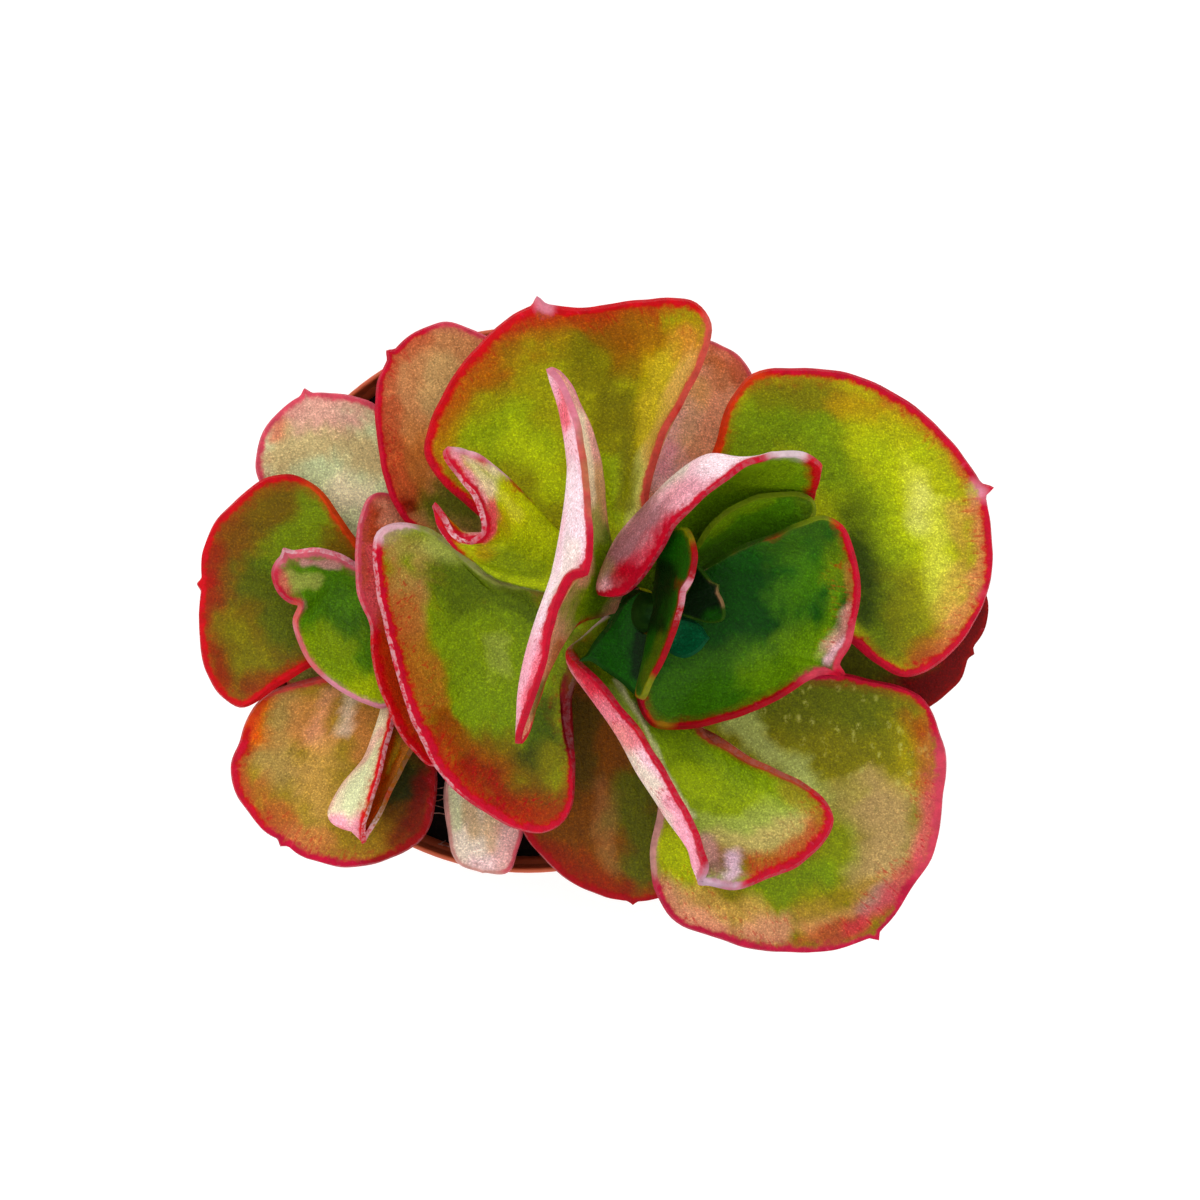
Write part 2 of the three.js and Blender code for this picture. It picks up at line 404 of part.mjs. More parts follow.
// A fleshy leaf: one middle surface, thickened both ways and sharp at its margin
function leafGeometry(leaf) {
  const rib = smoothLine(leaf.rib);
  const cup = leaf.cup ?? CUP;
  const halves = [
    halfBlade(rib, leaf.rightFold && smoothLine(leaf.rightFold), smoothLine(leaf.right), cup),
    halfBlade(rib, leaf.leftFold && smoothLine(leaf.leftFold), smoothLine(leaf.left), cup),
  ];
  const points = [];
  const thick = [];
  const index = new Map();
  const thickness = leaf.thickness ?? LEAF_THICKNESS;
  const fleshAt = (t) => {
    const full = thickness * THREE.MathUtils.lerp(BASE_SWELL, TIP_THIN, t);
    const widths = halves.map((half) => half(t, 0).distanceTo(half(t, 1)));
    return Math.min(full, THICK_OF_WIDTH * Math.min(...widths));
  };
  const vertex = (half, i, j) => {
    const shared = j === 0 || i === ALONG;
    const key = `${shared ? 0 : half},${i},${j}`;
    if (!index.has(key)) {
      const t = i / ALONG;
      const s = j / ACROSS;
      index.set(key, points.length);
      points.push(halves[half](t, s));
      thick.push(0.5 * fleshAt(t) * Math.sqrt(1 - s * s));
    }
    return index.get(key);
  };
  const upper = [];
  for (let half = 0; half < 2; half += 1) {
    for (let i = 0; i < ALONG; i += 1) {
      for (let j = 0; j < ACROSS; j += 1) {
        const a = vertex(half, i, j);
        const b = vertex(half, i, j + 1);
        const c = vertex(half, i + 1, j + 1);
        const d = vertex(half, i + 1, j);
        if (half === 0) upper.push([a, b, c], [a, c, d]);
        else upper.push([a, c, b], [a, d, c]);
      }
    }
  }
  const middle = new THREE.BufferGeometry().setFromPoints(points);
  middle.setIndex(upper.flat());
  middle.computeVertexNormals();
  const normal = middle.attributes.normal;
  const count = points.length;
  const top = points.map((point, k) => point.clone().addScaledVector(
    new THREE.Vector3().fromBufferAttribute(normal, k), thick[k]));
  const bottom = points.map((point, k) => point.clone().addScaledVector(
    new THREE.Vector3().fromBufferAttribute(normal, k), -thick[k]));
  const under = (k) => (thick[k] === 0 ? k : k + count);
  const faces = [];
  for (const [a, b, c] of upper) {
    faces.push(a, b, c, under(a), under(c), under(b));
  }
  const baseRow = [];
  for (let j = ACROSS; j > 0; j -= 1) baseRow.push(vertex(1, 0, j));
  for (let j = 0; j <= ACROSS; j += 1) baseRow.push(vertex(0, 0, j));
  for (let k = 0; k < baseRow.length - 1; k += 1) {
    const a = baseRow[k];
    const b = baseRow[k + 1];
    if (under(a) !== a) faces.push(a, under(a), b);
    if (under(b) !== b) faces.push(b, under(a), under(b));
  }
  const geometry = new THREE.BufferGeometry().setFromPoints([...top, ...bottom]);
  geometry.setIndex(faces);
  return geometry;
}

// Pot: one thin wall with a collar at the rim and holes in its floor
function potSolid() {
  const collarFoot = POT_HEIGHT - COLLAR_HEIGHT;
  const wallTop = RIM_RADIUS - COLLAR_STEP;
  const profile = [
    [0, 0], [FOOT_RADIUS - CORNER, 0], [FOOT_RADIUS, CORNER],
    [wallTop, collarFoot], [RIM_RADIUS, collarFoot + COLLAR_SLOPE], [RIM_RADIUS, POT_HEIGHT],
    [RIM_RADIUS - WALL, POT_HEIGHT], [RIM_RADIUS - WALL, collarFoot + COLLAR_SLOPE + WALL],
    [wallTop - WALL, collarFoot], [FOOT_RADIUS - WALL, FLOOR + CORNER],
    [FOOT_RADIUS - WALL - CORNER, FLOOR], [0, FLOOR],
  ];
  return latheSolid(profile);
}

function latheSolid(profile) {
  const rings = [];
  const points = [];
  const faces = [];
  for (const [radius, z] of profile) {
    if (radius === 0) {
      rings.push([points.length]);
      points.push(new THREE.Vector3(0, 0, z));
    } else {
      const ring = [];
      for (let side = 0; side < POT_SIDES; side += 1) {
        const angle = (2 * Math.PI * side) / POT_SIDES;
        ring.push(points.length);
        points.push(new THREE.Vector3(radius * Math.cos(angle), radius * Math.sin(angle), z));
      }
      rings.push(ring);
    }
  }
  for (let k = 0; k < rings.length - 1; k += 1) {
    for (let side = 0; side < POT_SIDES; side += 1) {
      const next = (side + 1) % POT_SIDES;
      const low = rings[k];
      const high = rings[k + 1];
      if (low.length === 1) faces.push(low[0], high[next], high[side]);
      else if (high.length === 1) faces.push(low[side], low[next], high[0]);
      else faces.push(low[side], low[next], high[next], low[side], high[next], high[side]);
    }
  }
  const geometry = new THREE.BufferGeometry().setFromPoints(points);
  geometry.setIndex(faces);
  return toSolid(geometry);
}

function drainHoles() {
  let holes = null;
  for (let k = 0; k < HOLE_COUNT; k += 1) {
    const turn = (2 * Math.PI * (k + 0.5)) / HOLE_COUNT;
    const rings = [-HOLE_OVERCUT, FLOOR + HOLE_OVERCUT].map((z) => {
      const ring = [];
      for (let side = 0; side < HOLE_SIDES; side += 1) {
        const angle = (2 * Math.PI * side) / HOLE_SIDES;
        ring.push(new THREE.Vector3(
          HOLE_CIRCLE * Math.cos(turn) + HOLE_RADIUS * Math.cos(angle),
          HOLE_CIRCLE * Math.sin(turn) + HOLE_RADIUS * Math.sin(angle),
          z,
        ));
      }
      return ring;
    });
    const hole = toSolid(stack(rings));
    holes = holes ? holes.add(hole) : hole;
  }
  return holes;
}

// Soil: fills the pot with a small gap to its wall, with a socket for each stem
function soilSolid(stems) {
  const collarFoot = POT_HEIGHT - COLLAR_HEIGHT;
  const inner = RIM_RADIUS - COLLAR_STEP - WALL - GAP;
  const innerFoot = FOOT_RADIUS - WALL - GAP;
  const top = POT_HEIGHT - SOIL_BELOW_RIM;
  const profile = [
    [0, FLOOR + GAP], [innerFoot - CORNER, FLOOR + GAP], [innerFoot, FLOOR + CORNER + GAP],
    [inner, collarFoot], [inner, top - SOIL_EDGE_DROP], [inner - SOIL_EDGE_WIDTH, top], [0, top],
  ];
  return latheSolid(profile).subtract(stems);
}

const grownMain = toSolid(stemGeometry(MAIN_STEM, STEM_GAP));
const grownOffset = toSolid(stemGeometry(OFFSET_STEM, STEM_GAP));
const grownStems = grownMain.add(grownOffset);

addPiece('pot', toGeometry(potSolid().subtract(drainHoles())), POT_LOOK);
addPiece('soil', toGeometry(soilSolid(grownStems)), SOIL_LOOK);
addPiece('main_stem', stemGeometry(MAIN_STEM, 0), STEM_LOOK);
addPiece('offset_stem', stemGeometry(OFFSET_STEM, 0), STEM_LOOK);
for (const [name, leaf] of Object.entries(LEAVES)) {
  const blade = toSolid(leafGeometry(leaf)).subtract(grownStems);
  addPiece(name, toGeometry(blade), { color: leaf.color, roughness: LEAF_ROUGHNESS });
}

export default plant;
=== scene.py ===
import math
import random

import bpy
import numpy as np
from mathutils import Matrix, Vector, kdtree, noise


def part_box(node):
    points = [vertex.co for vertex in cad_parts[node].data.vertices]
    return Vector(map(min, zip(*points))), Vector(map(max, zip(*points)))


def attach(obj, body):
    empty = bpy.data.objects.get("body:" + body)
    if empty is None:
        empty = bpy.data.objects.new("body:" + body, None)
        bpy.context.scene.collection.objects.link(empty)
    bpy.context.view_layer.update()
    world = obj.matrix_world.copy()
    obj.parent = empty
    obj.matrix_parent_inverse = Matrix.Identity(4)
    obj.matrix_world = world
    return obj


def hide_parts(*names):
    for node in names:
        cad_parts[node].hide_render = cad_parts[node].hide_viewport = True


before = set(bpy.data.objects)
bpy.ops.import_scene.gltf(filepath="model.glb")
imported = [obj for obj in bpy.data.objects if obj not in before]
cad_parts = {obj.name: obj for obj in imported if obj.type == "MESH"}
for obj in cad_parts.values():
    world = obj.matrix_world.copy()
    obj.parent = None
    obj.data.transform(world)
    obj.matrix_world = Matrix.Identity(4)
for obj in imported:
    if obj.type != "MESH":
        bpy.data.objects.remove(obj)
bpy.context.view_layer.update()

# Leaf margins wander and crumbs fall the same way on every run
SEED = 7
noise.seed_set(SEED)

# Sizes in millimetres, from the floor up. One scene unit is a metre.
MM = 0.001
pot_low, pot_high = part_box("pot")
POT_HEIGHT = pot_high.z / MM
RIM_RADIUS = (pot_high.x - pot_low.x) / 2 / MM
SOIL_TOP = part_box("soil")[1].z / MM

# The eye that the outlines below were read from, and the camera that stands there
EYE_X = 18
EYE_HEIGHT = 700
VIEW_WIDTH = 300
SENSOR = 36

# Stems: foot and top as (x, y, height above the pot's rim)
MAIN_STEM = {"foot": (13, -3, -26), "top": (31.5, -3, 44), "foot_radius": 8, "top_radius": 5}
OFFSET_STEM = {"foot": (-19, -4, -24), "top": (-29.5, -5, 8.5), "foot_radius": 6, "top_radius": 4}
STEM_GAP = 0.35

# A leaf's middle surface: rows from base to tip, columns from midrib to margin. A share of a leaf is
# counted from its base.
ROWS = 76
COLUMNS = 22
MARGIN_EASE = 1.4
TIP_EASE = 1.2
WELD = 2e-6
CUP = 2.5
CUP_REACH = 1.1
FOLD_CLOSES = 0.8
STEM_REACH = 0.5
STEM_REACH_STEPS = 121
NEXT_COLUMN = 0.1
SOFTEN_BASE = 4
GRID_DIGITS = 6
LEAST_SPACING = 1e-6
LEAST_DISTANCE = 1e-9
LEAST_AREA = 1e-12

# A leaf's flesh, in millimetres and in shares of its thickness
LEAF_THICKNESS = 6
MARGIN_THICKNESS = 1.3
MARGIN_AT_MOST = 0.45
MARGIN_ROUNDING = 0.42
MARGIN_SEGMENTS = 3
MARGIN_ANGLE = 50
BASE_SWELL = 1.15
TIP_THIN = 0.6
THICK_OF_WIDTH = 0.5

# How a leaf's creases soften, its margin wanders and its tip is rounded and drawn out to a point
SOFTEN_LEAF = 6
SOFTEN_PULL = 0.5
PINNED_MARGIN = 0.2
PINNED_BASE = 0.08
WEIGHT_LEVELS = 400
WANDER = 0.35
WANDER_SIZE = 6
WANDER_FADE = 4
NEAR_TIP = 0.97
ROUND_REACH = 8
ROUND_FALL = 1.5
POINT_REACH = 1.8
POINT_FALL = 1.3
USUAL_ROUNDING = 1.4
USUAL_POINT = 1.5
POINT_LENGTH = {
    "leaf_north_broad": 2.2, "leaf_east_broad": 2.8, "leaf_east_dish": 2.4, "leaf_south_narrow": 0,
    "leaf_west_under": 0.4, "leaf_south_low": 1, "leaf_west_upright": 0.6, "leaf_west_curled": 0.3,
    "leaf_southwest_broad": 0.3, "leaf_northeast_folded": 1, "leaf_heart_side": 0.3,
    "leaf_south_folded": 0.6, "offset_leaf_folded": 0.8, "leaf_northeast_inner": 0.2,
}
TIP_ROUNDING = {
    "leaf_south_narrow": 1.8, "leaf_west_under": 2, "leaf_south_low": 2, "offset_leaf_inner": 0.8,
    "offset_leaf_south": 2, "offset_leaf_west": 2, "leaf_east_broad": 2.2, "leaf_west_upright": 0.5,
    "leaf_south_folded": 0.6, "leaf_heart_side": 1.5,
}
ON_MARGIN = 0.9999
MARGIN_SAMPLES = 6

# How paint is laid: a stroke's full core and its end as shares of its reach, and how it wobbles, in mm
STROKE_CORE = 0.25
STROKE_END = 1.1
WOBBLE = 1.2
WOBBLE_SIZE = 9
WOBBLE_OF_REACH = 0.45
WOBBLE_AT_MOST = 4
BARE_BASE = (0.03, 0.2)
BLOOM = 0.3
NO_BLOOM = ("leaf_heart_small", "leaf_heart_west", "leaf_heart_side", "leaf_northeast_inner",
            "leaf_west_curled", "leaf_west_under")
GRAIN_CLOSES = 8
UNDER_GRAIN_SHIFT = 40
UNDER_WEIGHT = 0.5

# Lumps in noise: how soft, how much finer each octave is, how many octaves, and where each seed reads
LUMP_SOFTNESS = 0.7
LUMP_STEP = 2
LUMP_OCTAVES = 4
SEED_SHIFT = (17.3, 5.7, 9.1)

# The pot, turned: foot, wall with faint rings, collar with a step below it, rolled lip and drainage holes
POT_SIDES = 144
POT_CREASE = 35
POT_WALL = 1.2
POT_FLOOR = 2
COLLAR_HEIGHT = 14
COLLAR_STEP = 1.6
STEP_BELOW = 0.6
STEP_PROUD = 0.2
COLLAR_ROUNDING = ((0.4, 0.7), (0.1, 1.4))
BEAD_PROUD = 0.1
BEAD_DROPS = (2.2, 1.6)
INNER_STEP = 1
FOOT_RADIUS = 49
FOOT_CORNER = 2.5
CORNER_ROUNDING = 0.3
LIP_STEPS = 6
RING_HEIGHTS = (9, 14, 92)
RING_WIDTH = 0.7
RING_DEPTH = 0.18
HOLE_COUNT = 6
HOLE_CIRCLE = 35
HOLE_RADIUS = 5
HOLE_SIDES = 32
CUTTER_LENGTH = 3 * POT_FLOOR

# The soil, turned too, with lumps of two sizes as (width, height, octaves) on its top
SOIL_SIDES = 144
SOIL_RINGS = 40
SOIL_GAP = 0.3
SOIL_RADIUS = RIM_RADIUS - COLLAR_STEP - POT_WALL - SOIL_GAP
SOIL_EDGE_DROP = 1
SOIL_EDGE = (6, 1)
SOIL_SINK = 0.4
SOIL_SKIN = 0.5
SOIL_LUMPS = ((9, 1.2, 3), (2.2, 0.5, 2))
SOIL_LUMP_SOFTNESS = 1

# The stems: rings of leaf scars, a domed top and a little lumpiness
STEM_SIDES = 48
STEM_STEPS = 60
STEM_DOME = 0.85
STEM_TIP = 0.12
STEM_SOCKET = 0.4
SCAR_EVERY = 6
SCAR_DEPTH = 0.45
SCAR_INSET = 0.3
LEAN_ENDS = (-0.1, 1.1)
STEM_LUMP_SIZE = 5
STEM_LUMP = 0.04
STEM_SHRINK = 0.03
STEM_SHRINK_MOST = 0.1
YOUNG_BARK = (0.45, 0.85)

# Crumbs and rootlets on the soil. A rootlet's points are (x, y as seen, lift above the soil).
CRUMB_TRIES = 420
CRUMB_SIZES = (0.5, 1.5)
CRUMB_DETAIL = 2
CRUMB_CREASE = 40
CRUMB_WALL_GAP = 3
CRUMB_STEM_GAP = 0.5
CRUMB_SPACING = 1.05
CRUMB_RISE = 0.6
CRUMB_DEPTHS = (0.6, 1)
CRUMB_HEIGHTS = (0.45, 0.7)
CRUMB_LUMP = 0.28
CRUMB_LUMP_SIZE = 0.9
ROOTLET_RADIUS = 0.17
ROOTLET_DETAIL = 2
ROOTLET_TAPER = 0.5
ROOTLETS = [
    [(-20.5, -46.6, 0.2), (-22, -47.4, 0.8), (-23.6, -46.9, 0.2), (-25.5, -47.8, 0.1)],
    [(-20.3, -49.6, 0.1), (-21.2, -48.5, 1.0), (-22.8, -48.4, 0.4), (-24.8, -49.6, 0.1)],
    [(-20.6, -49.2, 0.3), (-22.4, -50.6, 0.8), (-23.4, -50.1, 0.3), (-25.9, -50.8, 0.1)],
    [(-20.4, -52.6, 0.1), (-21.2, -51.4, 0.6), (-22.6, -51.9, 0.9), (-24.1, -50.9, 0.1)],
    [(-20.9, -53.6, 0.2), (-22.1, -52.9, 0.7), (-24.8, -53.7, 0.1), (-26, -53.1, 0.1)],
    [(-19.8, -61.8, 0.1), (-21.6, -61, 0.6), (-23.8, -61.2, 0.2)],
    [(-20.6, -60.2, 0.1), (-22.6, -61.8, 0.5), (-24.4, -60.6, 0.1)],
]

# The catalogue colour slot listed for each leaf
SLOT_LEAVES = {
    "leaf_yellow_green": ("leaf_north_broad", "leaf_east_broad", "leaf_southwest_broad", "leaf_west_curled",
                          "leaf_south_folded", "leaf_southeast_broad"),
    "leaf_deep_green": ("leaf_northeast_folded", "leaf_east_dish", "leaf_northeast_inner", "leaf_heart_west",
                        "leaf_heart_side", "leaf_heart_small", "leaf_heart_tall", "offset_leaf_inner"),
    "leaf_brown": ("leaf_south_low", "leaf_east_low", "leaf_northwest_low", "offset_leaf_west",
                   "offset_leaf_south"),
    "leaf_red": ("leaf_west_under",),
    "leaf_pale": ("leaf_south_narrow", "leaf_north_low", "offset_leaf_north", "offset_leaf_low",
                  "offset_leaf_folded"),
    "leaf_pink": ("leaf_west_upright",),
}
SLOTS = {leaf: slot for slot, leaves in SLOT_LEAVES.items() for leaf in leaves}

# The studio, in metres: floor, overhead lamp and where it points
FLOOR_SIZE = 6
FLOOR_DROP = 0.0005
FLOOR_GREY = (225, 225, 225)
FLOOR_ROUGH = 0.9
FLOOR_GLOW = 0.38
LAMP_SIZE = 1.6
LAMP_POWER = 7
LAMP_PLACE = (-0.35, 0.45, 1.5)
LAMP_AIM = (0, 0, 0.1)
WHITE = (1, 1, 1, 1)

# Leaf colours as the eye reads them, red green blue from 0 to 255
PALETTE = {
    "acid": (172, 188, 14), "berry": (195, 50, 75), "black_green": (5, 26, 4), "blood": (150, 12, 10),
    "bone": (222, 208, 188), "bottle": (42, 60, 4), "brick": (175, 78, 52), "bronze": (146, 121, 40),
    "brown": (115, 66, 20), "cherry": (170, 20, 30), "chartreuse": (160, 165, 30), "citron": (143, 144, 8),
    "clay": (165, 95, 48), "copper": (190, 122, 60), "coral": (228, 100, 88), "cream": (225, 212, 175),
    "crimson": (206, 20, 48), "dusty_pink": (212, 155, 145), "fawn": (188, 132, 88), "fern": (108, 134, 3),
    "forest": (18, 76, 3), "fresh_green": (72, 120, 4), "gold": (185, 165, 50), "grass": (138, 160, 3),
    "grey_tan": (168, 140, 90), "ink_green": (8, 55, 2), "khaki": (150, 137, 68),
    "leaf_lime": (118, 138, 16), "light_green": (100, 135, 20), "lilac": (208, 172, 190),
    "lime": (168, 186, 27), "maroon": (100, 10, 10), "mauve": (205, 135, 150), "mint": (195, 205, 155),
    "moss": (72, 90, 4), "night_moss": (40, 42, 5), "ochre": (163, 132, 28), "olive": (115, 110, 5),
    "olive_brown": (106, 84, 8), "orange": (222, 80, 18), "orange_brown": (174, 84, 14),
    "pale_straw": (215, 215, 120), "peach": (212, 165, 95), "petal": (238, 190, 203), "pine": (46, 84, 3),
    "pink": (238, 155, 175), "plum": (150, 100, 110), "rose": (225, 92, 108), "rust": (140, 62, 14),
    "sage": (155, 165, 80), "salmon": (215, 150, 120), "sand": (190, 158, 105), "scarlet": (214, 20, 30),
    "sea_foam": (206, 206, 190), "shell": (238, 214, 221), "sienna": (165, 58, 30), "straw": (200, 202, 72),
    "tan": (186, 122, 70), "teal": (16, 88, 52), "umber": (148, 95, 20), "wine": (125, 40, 22),
}

# Each leaf in millimetres, its points as (x, y, height above the rim) seen from the eye. Its two
# margins run from base to tip and end at the tip, and its midrib runs from base towards the tip. A
# fold is where that half of the leaf bends. The cup is how deep it sinks where it has no fold.
LEAVES = {}
LEAVES["leaf_south_narrow"] = dict(
    tip=(-11.3, -70, 7.5),
    left=[(14, -14, -2), (9, -25, -1), (4, -40, 1), (0, -52, 4), (-2.2, -61, 6.5), (-5, -68, 7.5)],
    rib=[(13, -8, -2), (1, -28, -1.5), (-7, -44, 0.5), (-10.5, -58, 4), (-11.2, -66, 6.5)],
    right=[(8, -10, -1), (-6, -20, 0.5), (-15, -32, 2.5), (-20.5, -45, 5), (-20.3, -56, 6.5),
        (-18, -65, 7.5)],
    cup=0.5, thickness=3.4,
)
LEAVES["leaf_south_low"] = dict(
    tip=(26.5, -77.4, 9),
    left=[(24, -12, 4), (31, -24, 6), (38, -38, 8), (42, -52, 9.5), (41, -64, 10), (36, -72.5, 10),
        (31, -75.5, 9.5)],
    rib=[(18, -8, 4), (19, -25, 5), (19.5, -40, 6), (20.5, -55, 7.5), (24, -68, 8.5)],
    right=[(12, -10, 5), (5, -20, 8), (-1, -33, 10), (-3.5, -46, 12), (-1, -58, 12), (6.3, -67, 11),
        (12.9, -71.6, 10), (20, -74.5, 9.5)],
    cup=1,
)
LEAVES["leaf_east_low"] = dict(
    tip=(111.5, -13.5, 11.5),
    left=[(25, 1, 7.8), (40, 11, 11), (60, 20, 14), (80, 22, 14), (98, 18, 14), (110, 9, 13),
        (114.8, 0, 12.5), (114, -7.8, 12)],
    rib=[(22, -4, 5.6), (42, -4, 6.8), (62, -5, 8.5), (84, -7, 10), (101, -10, 11)],
    right=[(23, -10, 5.4), (38, -20, 7.2), (56, -27, 9.6), (76, -31, 11.5), (92, -30.5, 12),
        (102, -25.5, 12), (108, -20, 12)],
    thickness=5.2,
)
LEAVES["leaf_north_low"] = dict(
    tip=(44, 66.5, 12.5),
    left=[(17, 4, 4), (20, 20, 8), (21, 36, 11), (24, 50, 12.5), (31, 60, 13), (38, 65.5, 13)],
    rib=[(21, 2, 3.5), (29, 20, 5), (36, 36, 7), (41, 50, 9), (43, 60, 10.5)],
    right=[(26, 4, 4), (38, 16, 7.5), (49, 28, 10), (56, 42, 12), (57.3, 52, 13), (53, 60.5, 13),
        (48, 64.3, 12.5)],
)
LEAVES["leaf_west_under"] = dict(
    tip=(-40.8, -6, 28),
    left=[(13, -9, 8), (4, -20, 12), (-8, -32, 16), (-18, -39, 19), (-24, -41.3, 21), (-29.3, -36.5, 23),
        (-33.5, -30, 24.5), (-37.4, -20, 26), (-39.5, -11, 27)],
    rib=[(15, -3, 7), (-2, -4, 9), (-16, -5, 13), (-29, -5.5, 20)],
    right=[(12, 3, 5.7), (-2, 11, 7.6), (-16, 18, 9.8), (-27, 23.5, 14), (-34, 26.5, 17),
        (-38.5, 26.5, 20), (-41.5, 22, 24), (-42.9, 11.8, 26), (-42.4, 2, 27)],
    thickness=4.8,
)
LEAVES["leaf_northwest_low"] = dict(
    tip=(-35.2, 62.3, 23),
    left=[(10, -2, 12.6), (-8, 6, 17), (-20, 13, 20), (-29.6, 19, 22.5), (-33.9, 25, 24), (-37.4, 40, 25),
        (-38, 50, 25), (-36.8, 56.8, 24)],
    rib=[(17, 1.5, 11), (2, 16, 11.5), (-10, 31, 13), (-20, 45, 15), (-28, 56, 18)],
    right=[(19, 6, 12), (12, 22, 12.5), (8, 38, 14), (2, 54, 16), (-6, 63, 18), (-12.6, 67, 20),
        (-19.6, 69.4, 21.5), (-25, 68.3, 22.5), (-30, 65.9, 23)],
    thickness=4.8,
)
LEAVES["leaf_southeast_broad"] = dict(
    tip=(87.7, -85, 17),
    left=[(30, -8, 13), (48, -14, 16), (62, -17.5, 19), (73.7, -18.4, 21), (80.5, -18.8, 22),
        (87.4, -20.5, 23), (93.6, -22, 24), (98.6, -25, 24), (102, -30.5, 24.5), (104.4, -40, 24),
        (103.6, -50, 22), (101.8, -62.5, 20), (94, -75, 18)],
    rib=[(27, -8, 12), (41, -28, 13), (54, -46, 14), (68, -62, 16), (79, -75, 17)],
    right=[(24, -12, 14), (27, -26, 17), (31, -40, 19), (33, -52, 21), (31.2, -61, 22), (31, -67, 22.5),
        (33, -75, 22), (38, -81, 22), (46, -84, 21), (55, -86.8, 20), (65, -88, 19), (75.6, -87.7, 18),
        (82, -86, 17.5)],
)
LEAVES["leaf_east_broad"] = dict(
    tip=(116, 28, 32),
    left=[(28, 5, 18), (38, 20, 24), (44, 31, 29), (47, 38, 32), (50.4, 49, 36), (56.2, 56.2, 38),
        (66.9, 57.6, 38), (77, 57, 37), (88, 53.5, 36), (97, 48, 35), (105.5, 40, 34), (111, 33, 33)],
    rib=[(27, 0, 17), (52, 8, 17), (70, 15, 19), (88, 21, 24), (104, 26, 29)],
    right=[(30, -6, 17), (50, -8, 19), (66, -8, 23), (81.2, -10.5, 28), (88, -16, 31), (95.3, -19, 32),
        (103, -15.5, 32), (109, -9, 31), (114.8, 1.7, 30.5), (116.2, 10, 30.5), (115.5, 20, 31)],
)
LEAVES["leaf_north_broad"] = dict(
    tip=(2.4, 75, 42),
    left=[(14, 4, 20), (0, 13, 25), (-13, 22, 30), (-21, 29, 33), (-25.5, 36, 35), (-25, 42, 36),
        (-20, 53, 38), (-11, 65, 40), (-4, 70.7, 41)],
    rib=[(22, 2, 19), (18, 20, 20), (14, 38, 24), (9, 54, 30), (5, 66, 36)],
    right_fold=[(24.5, 7, 19), (25, 25, 20), (26, 40, 23), (24, 55, 29), (17, 66, 35)],
    right=[(27, 5, 19), (29.5, 20, 24), (30, 29, 29), (33.5, 41, 34), (39.4, 51.8, 38), (43.5, 60, 41),
        (45.4, 69, 43), (42, 74.2, 44), (35, 75.1, 44), (24, 74.2, 43.5), (12, 72.5, 43)],
)
LEAVES["leaf_southwest_broad"] = dict(
    tip=(-27.1, -35.5, 35),
    left=[(18, -8.5, 22), (11.5, -20, 22.5), (9.6, -28, 23), (11, -38, 25), (11.4, -47, 27),
        (9.3, -55, 29), (3.8, -58.1, 30), (-2.9, -57, 31), (-10, -53.4, 32), (-17.4, -48, 33),
        (-23, -41.5, 34)],
    rib=[(21, -3, 22), (2, -8, 21), (-8, -15, 22), (-17, -24, 25), (-23, -31, 30)],
    right=[(18, 2.5, 22.5), (-4, 4, 26), (-13, 8, 30), (-20, 14.5, 33), (-28, 18.5, 35), (-34, 19, 37),
        (-38, 16.5, 38.5), (-38.3, 9.4, 39), (-37.2, 1.3, 39), (-35, -9, 38), (-32, -20, 37),
        (-29, -30, 36)],
)
LEAVES["leaf_west_curled"] = dict(
    tip=(-12, 17, 50),
    left=[(21, -2.5, 28), (4, 2, 30), (-8, 5.5, 33), (-15, 11, 37), (-19.5, 14.5, 41), (-23, 20, 45),
        (-23.6, 24, 47), (-21, 20.5, 47), (-18.5, 16.2, 48), (-15, 14.7, 49)],
    left_fold=[(22, 0, 27.5), (6, 6, 31), (-5, 9, 36), (-12, 13, 41), (-16, 15, 44), (-15, 15.5, 47),
        (-11.5, 16, 49)],
    rib=[(23, 2, 27), (9, 9, 32), (0, 13, 37), (-6, 15.5, 43), (-10, 16.5, 48)],
    right_fold=[(22, 4.5, 27), (9, 13, 32), (0, 20, 37), (-7, 27, 42), (-12, 31, 46), (-11.5, 25, 49),
        (-10.5, 18, 50)],
    right=[(20.5, 7, 27.5), (12, 13, 29), (4, 20, 32), (-1, 26, 36), (-8, 33, 42), (-15, 37.5, 47),
        (-20.5, 38, 49), (-20.8, 35.5, 51), (-17, 30.5, 52), (-13.4, 26, 52), (-11.8, 20, 51)],
    thickness=3.6,
)
LEAVES["leaf_northeast_folded"] = dict(
    tip=(61, 36.5, 66),
    left=[(25, 7, 29), (25.5, 8.5, 36), (22.5, 6, 43), (18.7, 2.5, 46), (18.3, 1.2, 50), (20.8, 0.9, 53),
        (24, 1.5, 55), (28.7, 6, 58), (32.8, 12, 61), (37, 19, 64), (42.4, 24.6, 66), (48.6, 29.6, 67),
        (54, 34, 67)],
    left_fold=[(26, 6, 28), (26, 10.5, 36), (22.3, 7, 44), (23.5, 14, 46), (30, 22, 49), (37, 29.5, 52),
        (44, 34.5, 55), (52, 36.5, 59), (58, 37, 62)],
    rib=[(27, 3, 27), (34, 13, 31), (42, 22, 36), (49, 28, 41), (57, 33, 49)],
    right=[(30, 1, 27), (40, 5, 27), (52, 9, 28), (63, 14, 31), (70, 20, 38), (71.5, 25, 45),
        (73, 30, 55), (73.2, 33.6, 62), (70.3, 35.8, 64), (66, 36.8, 66)],
    thickness=4.8,
)
